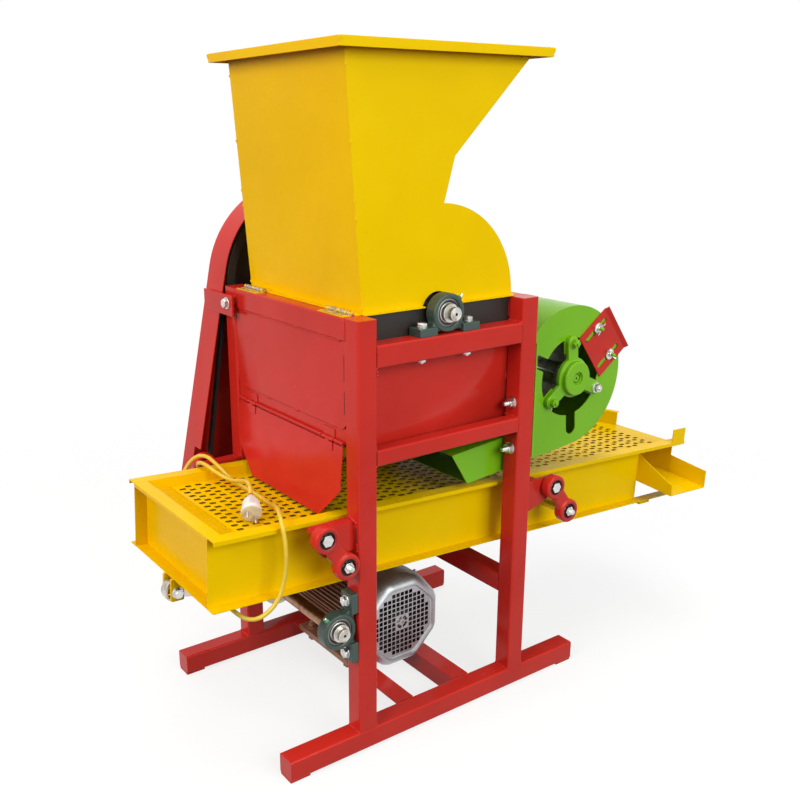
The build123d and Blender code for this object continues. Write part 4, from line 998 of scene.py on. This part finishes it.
def wing_nuts():
    hub = [(4.3, 0), (11.5, 0), (11.5, 1.6), (7.6, 2.0), (6.4, 2.6), (5.8, 6.4), (5, 7), (4.3, 6.6)]
    parts = [turned(hub, 32, closed=True)]
    for side in sides:
        ear = [(4.8, 2.4), (9.0, 2.6)] + arc(12.0, 7.6, 3.8, -75, 165, 12) + [(5.2, 6.2)]
        ear = flat([[(side * x, y) for x, y in ear]], 2.6, 0.9)
        parts.append(placed(ear, at(0, 0, 0, to_front)))
    model = painted(merged(joined("wing_nut", parts)), zinc)
    seat_y = shutter_back - shutter_thick - 0.3
    for node, (x, z), turn in zip(("wing_nut_upper", "wing_nut_lower"), stud_spots, (-50, 50)):
        piece = copied(model, at(x, seat_y, z, ("Y", turn), to_front))
        piece.name = node + "_cast"
        stands_for(smooth(piece, 40), node)
    dropped(model)


shutter()
wing_nuts()

# Motor: fan cowl with its grille, cooling ribs and terminal box
cowl_low, cowl_high = box_mm("motor_cowl")
cowl_r = 103.0
cowl_length = cowl_high.y - cowl_low.y


def grille_plate():
    """A plate with rows of square holes. Its middle has a rim, four arc slots and a round hole."""
    apothem = 77.0
    hole_low = 17.0
    hole_high = 71.0
    pitch = 10.8
    hole_half = 4.3
    middle = pitch + hole_half
    lines = []
    for i in range(-7, 8):
        lines += [i * pitch - hole_half, i * pitch + hole_half]

    def open_there(spot):
        x, y, _ = spot
        if max(abs(x), abs(y)) < middle:
            return True
        square = abs(x - pitch * round(x / pitch)) < 1 and abs(y - pitch * round(y / pitch)) < 1
        return square and hole_low < hypot(x, y) < hole_high

    plate = cut_out(grid(lines, lines), open_there)
    for i in range(8):
        way = Vector((cos(pi / 4 * i), sin(pi / 4 * i), 0))
        side = {"plane_co": way * apothem * MM, "plane_no": way, "clear_outer": True}
        edited(plate, (bpy.ops.mesh.bisect, side))
    apply_modifier(plate, "SOLIDIFY", thickness=1.2 * MM, offset=0.0)
    loops = [rectangle(-middle, middle, -middle, middle)]
    for start in (10, 100, 190, 280):
        loops.append(arc(0, 0, 14.2, start, start + 70, 8) + arc(0, 0, 7.2, start + 70, start, 8))
    centre = flat(loops + [circle(3.8, 16)], 1.6, 0)
    rim = turned(mirrored([(14.5, 0.9), (17.4, 0.9)]), closed=True)
    return merged(joined("grille", [plate, centre, rim]))


def motor_cowl():
    """Pressed cowl: round at the back, eight-sided with a raised rim at the front, and a grille."""
    back = -cowl_length
    shell = [(cowl_r, back), (cowl_r, -46), (cowl_r - 2, -30), (cowl_r - 6, -17), (91, -7), (86, -2), (82, 0)]
    shell += [(79, -0.6), (77, -4), (75, -4.6), (75, -6), (78, -6), (84, -4), (89, -9), (cowl_r - 8, -19)]
    shell += [(cowl_r - 4, -31), (cowl_r - 2, -46), (cowl_r - 2, back)]
    shell = turned(shell, 96, closed=True)
    for vertex in shell.data.vertices:
        x, y, z = vertex.co / MM
        angle = atan2(y, x)
        off_flat = (angle + pi / 8) % (pi / 4) - pi / 8
        corner = min(1 / cos(off_flat), 1.06)
        share = min(max((z + 34) / 26, 0), 1)
        swell = 1 + (corner - 1) * share * share * (3 - 2 * share)
        vertex.co.x *= swell
        vertex.co.y *= swell
    parts = [smooth(shell, 40), placed(grille_plate(), at(0, 0, -5.3))]
    cowl = painted(joined("cowl_pressing", parts), finish["grey_paint"])
    placed(cowl, at(motor_x, cowl_low.y, motor_z, to_front))
    centre = at(motor_x, cowl_high.y - 12, motor_z)
    spots = [centre @ at(0, 0, 0, ("Y", turn)) @ at(0, 0, cowl_r - 1.5) for turn in (45, 135, 225, 315)]
    stands_for(joined("cowl_pressing", [cowl] + spread(head_set(8, 4, 7), spots)), "motor_cowl")


def motor_ribs():
    """Thin cooling ribs between those of the housing."""
    count = 36
    rib_in = 86.0
    rib_out = 98.5
    bare_half = 36.0
    end = box_mm("motor_housing")[1].y - 48
    rib = flat([rectangle(rib_in, rib_out, cowl_high.y + 4, end)], 2.6, 0.8)
    turns = [360 * i / count for i in range(count)]
    turns = [turn for turn in turns if abs((turn + 90) % 360 - 180) > bare_half]
    parts = spread(rib, [at(motor_x, 0, motor_z, ("Y", turn)) for turn in turns])
    extra("motor_ribs", parts, body_of["motor_housing"], "motor_cast")


def terminal_box():
    low, high = box_mm("terminal_box")
    middle = (low + high) / 2
    half = (high - low) / 2
    lid_high = 9.0
    lid_thick = lid_high - 1.2
    screw_in = 9.0
    over = at(middle.x, middle.y, 0)
    body = flat([rectangle(2 - half.x, half.x - 2, 2 - half.y, half.y - 2, 6)], 2 * half.z - lid_high, 1.2)
    lid = flat([rectangle(-half.x, half.x, -half.y, half.y, 7)], lid_thick, 2.2, 3)
    placed(body, over @ at(0, 0, middle.z - lid_high / 2))
    placed(lid, over @ at(0, 0, high.z - lid_thick / 2))
    box = painted(joined("terminal_case", [body, lid]), finish["motor_cast"])
    spots = []
    for sx in sides:
        spots += [over @ at(sx * (half.x - screw_in), sy * (half.y - screw_in), high.z - 2) for sy in sides]
    stands_for(joined("terminal_case", [box] + spread(head_set(8, 3, 6), spots)), "terminal_box")


motor_cowl()
motor_ribs()
terminal_box()

tray_spot = at(tray_x, mid_y, tray_z, ("Y", tray_slope))


# Sieve deck: staggered rows of slots with cut corners
def sieve_deck():
    pitch_x = 18.95
    pitch_y = 21.5
    long_half = 7.1
    wide_half = 4.3
    corner = 1.8
    shift = 1.3
    deck_start = ramp_end - 1.5
    deck_end = 1262.0
    deck_top = -20.0
    thick = 1.2
    first = ramp_end + 2.7
    column_sets = 15
    rows = 15
    y_half = (0.0, wide_half, pitch_y / 2 - wide_half, pitch_y / 2)
    y_lines = tuple(-y for y in reversed(y_half[1:])) + y_half

    def tile(x, y, slot_x):
        piece = grid((-pitch_x / 2, slot_x - long_half, slot_x + long_half, pitch_x / 2), y_lines)
        for vertex in piece.data.vertices:
            spot = vertex.co / MM
            if abs(abs(spot.y) - wide_half) < 0.01 and abs(abs(spot.x - slot_x) - long_half) < 0.01:
                vertex.co.x += copysign(corner, slot_x - spot.x) * MM
        cut_out(piece, lambda spot: abs(spot.x - slot_x) < 1 and abs(spot.y) < wide_half)
        return placed(piece, at(x, y, 0))

    tiles = []
    for i, stagger in enumerate((0, 0.5, 0.5, 0)):
        tiles.append(tile(i * pitch_x, stagger * pitch_y, -shift if i % 2 else shift))
    sheet = joined("sieve_sheet", tiles)
    steps = {"use_relative_offset": False, "use_constant_offset": True, "use_merge_vertices": True}
    steps["merge_threshold"] = 0.05 * MM
    for count, step in ((rows, (0, pitch_y, 0)), (column_sets, (4 * pitch_x, 0, 0))):
        apply_modifier(sheet, "ARRAY", count=count, constant_offset_displace=Vector(step) * MM, **steps)
    placed(sheet, at(first + pitch_x / 2, -(rows - 1) / 2 * pitch_y, 0))
    merged(sheet)
    trim = 6.5 * pitch_y + pitch_y / 4
    for side in sides:
        edge = {"plane_co": (0, side * trim * MM, 0), "plane_no": (0, side, 0), "clear_outer": True}
        edited(sheet, (bpy.ops.mesh.bisect, edge))

    def widened(axis, line, reach):
        """Draws the sheet's straight border out to a new line."""
        picked(sheet, "VERT", lambda spot: abs(spot[axis] / MM - line) < 0.05)
        move = [0.0, 0.0, 0.0]
        move[axis] = (reach - line) * MM
        bpy.ops.mesh.select_mode(type="EDGE")
        bpy.ops.mesh.extrude_edges_move(TRANSFORM_OT_translate={"value": tuple(move)})
        mode("OBJECT")

    for side in sides:
        widened(1, side * trim, side * tray_web)
    widened(0, first, deck_start)
    widened(0, first + 4 * column_sets * pitch_x, deck_end)
    edited(sheet, outward)
    below = -1.0 if sum(face.normal.z for face in sheet.data.polygons) > 0 else 1.0
    painted(sheet, yellow)
    # The slot walls are painted near-black brown: painted shade inside the slots; the sheet's outer border stays
    # yellow
    sheet.data.materials.append(slot_painted_shade)
    apply_modifier(sheet, "SOLIDIFY", thickness=thick * MM, offset=below, material_offset_rim=1)
    for face in sheet.data.polygons:
        x, y, _ = face.center / MM
        if x < deck_start + 0.1 or x > deck_end - 0.1 or abs(y) > tray_web - 0.1:
            face.material_index = 0
    placed(sheet, tray_spot @ at(0, 0, deck_top))
    stands_for(merged(sheet), "tray_deck")


# Drive ears: two plates under the tray with rounded ends, and the bolt that carries the rod
def drive_ears():
    gap_half = 16.0
    outline = rectangle(-4, 21, -175, -tray_depth, 2.5)
    spots = [tray_spot @ at(0, side * gap_half, 0, to_front) for side in sides]
    ears = painted(joined("drive_ear_plates", spread(flat([outline], 6, 0.8), spots)), yellow)
    bolt = [placed(head_set(17, 7, 11), at(0, 0, gap_half + 3))]
    bolt.append(placed(nut_set(17, 8, 6, 4, 11), at(0, 0, -gap_half - 3, ("X", 180))))
    bolt.append(turned(mirrored([(0, 20), (6, 20)]), 24, zinc))
    bolt = placed(joined("ear_bolt", bolt), tray_spot @ at(8, 0, -158, to_front))
    stands_for(joined("drive_ear_plates", [ears, bolt]), "drive_ears")


# Bolts, nuts and washers on the frame
def frame_bolts():
    seats = [spot @ at(side * housing_bolts, 0, 0) for spot in pillow_places for side in sides]
    parts = spread(head_set(17, 6.5, 10.5), [seat @ at(0, 0, pad_top - 0.3) for seat in seats])
    parts += spread(nut_set(14, 5, 5, 3, 8.5), [seat @ at(0, 0, -tube, ("X", 180)) for seat in seats])
    head_out = 14.0
    bolt_y = strap_bolt_y + strap_bolt_shift.y
    bolt_z = strap_z + strap_bolt_shift.z
    posts = ((-1, left_x), (1, right_x))
    spots = [at(x + side * head_out, bolt_y, bolt_z, ("Y", 90 * side)) for side, x in posts]
    parts += spread(head_set(17, 7, 12), spots) + spread(thread(5, -14, 0), spots)
    flange = [(y, fan_z - down) for y in post_rows for down in (17, 109)]
    parts += spread(nut_set(17, 9, 5, 12, 12), [at(right_x - tube, y, z, ("Y", -90)) for y, z in flange])
    parts += spread(nut_set(17, 9, 5, 5, 11), [at(right_x + 3, y, z, ("Y", 90)) for y, z in flange])
    spots = []
    sunk = bush_recess - 0.3
    for node in link_nodes:
        x, _, z = axis_mm(node + "_swing")
        low, high = box_mm(node)
        near = low.y < mid_y
        spots.append(at(x, low.y + sunk if near else high.y - sunk, z, to_front if near else away))
    parts += spread(head_set(20, 7, 10), spots)
    stud_end = painted(thread(4, 0, 18), green)
    parts += spread(stud_end, [at(x, spider_near, z, to_front) for x, z in stud_spots])
    foot_half = 80.0
    foot_rows = (-5, 135)
    feet = [(motor_x + side * foot_half, mid_y + y) for side in sides for y in foot_rows]
    spots = [at(x, y, foot_top + 12) for x, y in feet]
    spots += [at(x, y, foot_top - 5, ("X", 180)) for x, y in feet]
    parts += spread(painted(nut_set(17, 9, 5, 5, 12), finish["motor_cast"]), spots)
    # The last near nut of the spider is not painted over
    arm_nut = (16, 8, 5, 4, 11)
    nut_out = 11.5
    ends = arc(fan_x, fan_z, arm_reach, arm_angles[0], arm_angles[-1], 2)
    near_spots = [at(x, spider_near - nut_out, z, to_front) for x, z in ends]
    far_spots = [at(x, spider_far + nut_out, z, away) for x, z in ends]
    parts += spread(nut_set(*arm_nut), near_spots[2:])
    parts += spread(painted(nut_set(*arm_nut), green), near_spots[:2] + far_spots)
    stands_for(joined("frame_fasteners", parts), "frame_bolts")


sieve_deck()
drive_ears()
frame_bolts()

# Weld beads, joints, and black rods of painted shadow at the sheet's narrow openings and beside the bracket
front_rail_low = post_top - tube
panel_foot = 626.0
slit_x = right_x - tube
near_edge = near_y + tube / 2
far_edge = far_y - tube / 2


def upright(x, y, z0, z1):
    return (x, y, z0), (x, y, z1)


def across(x, z, y0, y1):
    return (x, y0, z), (x, y1, z)


def bead(a, b, radius, pitch):
    """A row of overlapping drops between two points."""
    a = Vector(a)
    b = Vector(b)
    count = max(1, round((b - a).length / pitch))
    bpy.ops.object.select_all(action="DESELECT")
    bpy.ops.mesh.primitive_uv_sphere_add(segments=10, ring_count=6, radius=radius * MM, location=(0, 0, 0))
    spots = []
    for i in range(count):
        swell = 1 + 0.22 * sin(7.3 * i + a.x + a.z)
        spots.append(at(*(a + (b - a) * ((i + 0.5) / count))) @ Matrix.Scale(swell, 4))
    return spread(bpy.context.object, spots)


def weld_set(name, runs, body, slot):
    parts = []
    for ends, radius, pitch in runs:
        parts += bead(*ends, radius, pitch)
    only(extra(name, parts, body, slot))
    bpy.ops.object.shade_smooth()


def frame_welds():
    half = tube / 2
    inner_x = (left_x + tube, right_x - tube)
    mid_rail = (594.0, 564.0)
    bracket_x = left_x + 0.5
    bracket_y = near_y - 14
    bracket_top = ((bracket_x - 1, bracket_y + 26, 475), (bracket_x - 1, bracket_y, 466))
    bracket_side = upright(bracket_x, bracket_y, 428, 412)
    slit_end = upright(slit_x, near_edge, 678, 664)
    panel_side = upright(panel_x + 0.5, far_edge, front_rail_low - 4, panel_foot + 20)
    runs = [(bracket_top, 2.6, 3.4), (bracket_side, 2.4, 3.4), (slit_end, 1.6, 4.0), (panel_side, 1.5, 2.8)]
    for y in post_rows:
        span = (y - half + 2, y + half - 2)
        for x in (left_x, *inner_x, right_x):
            runs.append((across(x, foot_top, *span), 2.4, 3.2))
        for x in inner_x:
            runs += [(across(x, z, *span), 2.2, 3.0) for z in (rail_top, rail_top - tube, *mid_rail)]
    for x in inner_x:
        for z in (rail_top, rail_top - tube):
            runs.append((upright(x, near_y - half, z + 6 - half, z - 2), 1.8, 6.0))
    for y in (far_edge, near_edge):
        runs.append((upright(left_x + 1, y, front_rail_low + 3, post_top - 3), 2.6, 3.2))
    for y in (mid_y + 72, mid_y - 37, near_edge + 20):
        runs.append((across(panel_x - 1, front_rail_low, y + 6, y - 6), 2.3, 3.2))
    for y in (mid_y + 74, mid_y - 34):
        runs.append((across(panel_x, panel_foot, y + 5, y - 5), 2.0, 3.0))
    weld_set("frame_welds", runs, "frame", "red_paint")


def panel_edges():
    """Sealed joint along the top of the front sheet, and black rods below and beside it and beside the bracket:
    painted shadow in each narrow gap.
    """
    top = rod(*across(panel_x - 0.6, front_rail_low - 1, mid_y + 160, mid_y - 178), 1.7)
    dress(painted(top, red), "frame", "red_paint").name = "panel_top_joint"
    foot_spans = ((167, 81), (67, -27), (-41, -165))
    side_spans = ((760, 714), (696, 655))
    slit_span = (660, 620)
    bracket_span = (457, 430)
    # Black rods laid along each narrow opening: painted shadow
    shadow_rods = [rod(*across(panel_x + 1.6, panel_foot, mid_y + y0, mid_y + y1), 1.0) for y0, y1 in foot_spans]
    shadow_rods += [rod(*upright(panel_x + 0.3, mid_y - 190, *span), 0.9) for span in side_spans]
    shadow_rods.append(rod(*upright(slit_x - 0.3, near_edge, *slit_span), 0.9))
    shadow_rods.append(rod(*upright(left_x, near_y - 11, *bracket_span), 1.2))
    extra("panel_painted_shadow", shadow_rods, "frame", "black_paint")


def hopper_welds():
    side_low, side_high = box_mm("hopper_side_plates")
    front_low, _ = box_mm("hopper_front_plate")
    rim_low, rim_high = box_mm("hopper_rim")
    side_in = 10.5
    lean = 32.3
    height = 437.7
    runs = []
    for y in (side_low.y + side_in, side_high.y - side_in):
        for share in (0.02, 0.36, 0.43, 0.64, 0.91):
            z = front_low.z + height * share
            runs.append((upright(front_low.x + lean - lean * share, y, z, z + 4), 2.0, 2.4))
    for x in (rim_low.x, rim_high.x):
        for y in (rim_low.y, rim_high.y):
            runs.append((upright(x, y, rim_high.z - 9, rim_high.z - 1), 1.8, 2.4))
    weld_set("hopper_welds", runs, "hopper", "yellow_paint")


frame_welds()
panel_edges()
hopper_welds()

for node, piece in nodes.items():
    painted(piece, finish[slot_of[node]])

# Studio: white floor that gives little light back, three soft boxes and an even sky
floor_shadow = 0.25
floor_bounce = "464442"
sky_strength = 0.58


def seen_straight(tree):
    """One where the eye sees the background, also in a mirror or through glass."""
    seen = add(tree, "LightPath", "Is Camera Ray")
    for ray in ("Is Glossy Ray", "Is Transmission Ray"):
        either = {0: seen, 1: add(tree, "LightPath", ray)}
        seen = add(tree, "Math", "Value", either, operation="MAXIMUM")
    return seen


bpy.ops.object.select_all(action="DESELECT")
bpy.ops.mesh.primitive_circle_add(vertices=96, radius=14.0, fill_type="NGON", location=(0, 0, 0))
floor = bpy.context.object
floor.name = "studio_floor"
paper = bpy.data.materials.new("studio_paper")
paper.use_nodes = True
tree = paper.node_tree
sheen = tree.nodes["Principled BSDF"]
sheen.inputs["Roughness"].default_value = 0.9
sheen.inputs["Specular IOR Level"].default_value = 0.0
seen = seen_straight(tree)
tone = {0: seen, 6: linear(floor_bounce), 7: linear("F4F4F4")}
tree.links.new(add(tree, "Mix", 2, tone, data_type="RGBA"), sheen.inputs["Base Color"])
reach = add(tree, "VectorMath", "Value", {0: add(tree, "TexCoord", "Object")}, operation="LENGTH")
fade = {"Value": reach, "From Min": 0.6, "From Max": 2.2, "To Min": 1 - floor_shadow, "To Max": 1.0}
fade = {0: add(tree, "MapRange", "Result", fade), 1: seen}
fade = add(tree, "Math", "Value", fade, operation="MULTIPLY")
white = add(tree, "Emission", "Emission", {"Color": (1, 1, 1, 1), "Strength": 1.0})
both = add(tree, "MixShader", "Shader", {0: fade, 1: sheen.outputs["BSDF"], 2: white})
tree.links.new(both, tree.nodes["Material Output"].inputs["Surface"])
floor.data.materials.append(paper)

world = bpy.data.worlds.new("studio_sky")
bpy.context.scene.world = world
world.use_nodes = True
tree = world.node_tree
sky = tree.nodes["Background"]
sky.inputs["Color"].default_value = (1, 1, 1, 1)
strength = {"Value": seen_straight(tree), "To Min": sky_strength, "To Max": 1.0}
tree.links.new(add(tree, "MapRange", "Result", strength), sky.inputs["Strength"])


def soft_box(name, place, aim, size, watts, tint):
    light = bpy.data.lights.new(name, "AREA")
    light.shape = "SQUARE"
    light.size = size
    light.energy = watts
    light.color = linear(tint)[:3]
    lamp = linked(name, light)
    lamp.location = place
    lamp.rotation_euler = (Vector(aim) - Vector(place)).to_track_quat("-Z", "Y").to_euler()


soft_box("key_light", (0.2, -3.7, 2.2), (0, 0, 0.6), 2.4, 112, "EEFFF4")
soft_box("front_light", (-3.6, -0.6, 2.6), (0, 0, 0.6), 2.4, 112, "FFF4E6")
soft_box("top_light", (0.2, 0.4, 4.2), (0, 0, 0.6), 2.4, 60, "FFFFFF")

bpy.context.scene.view_settings.view_transform = "Standard"
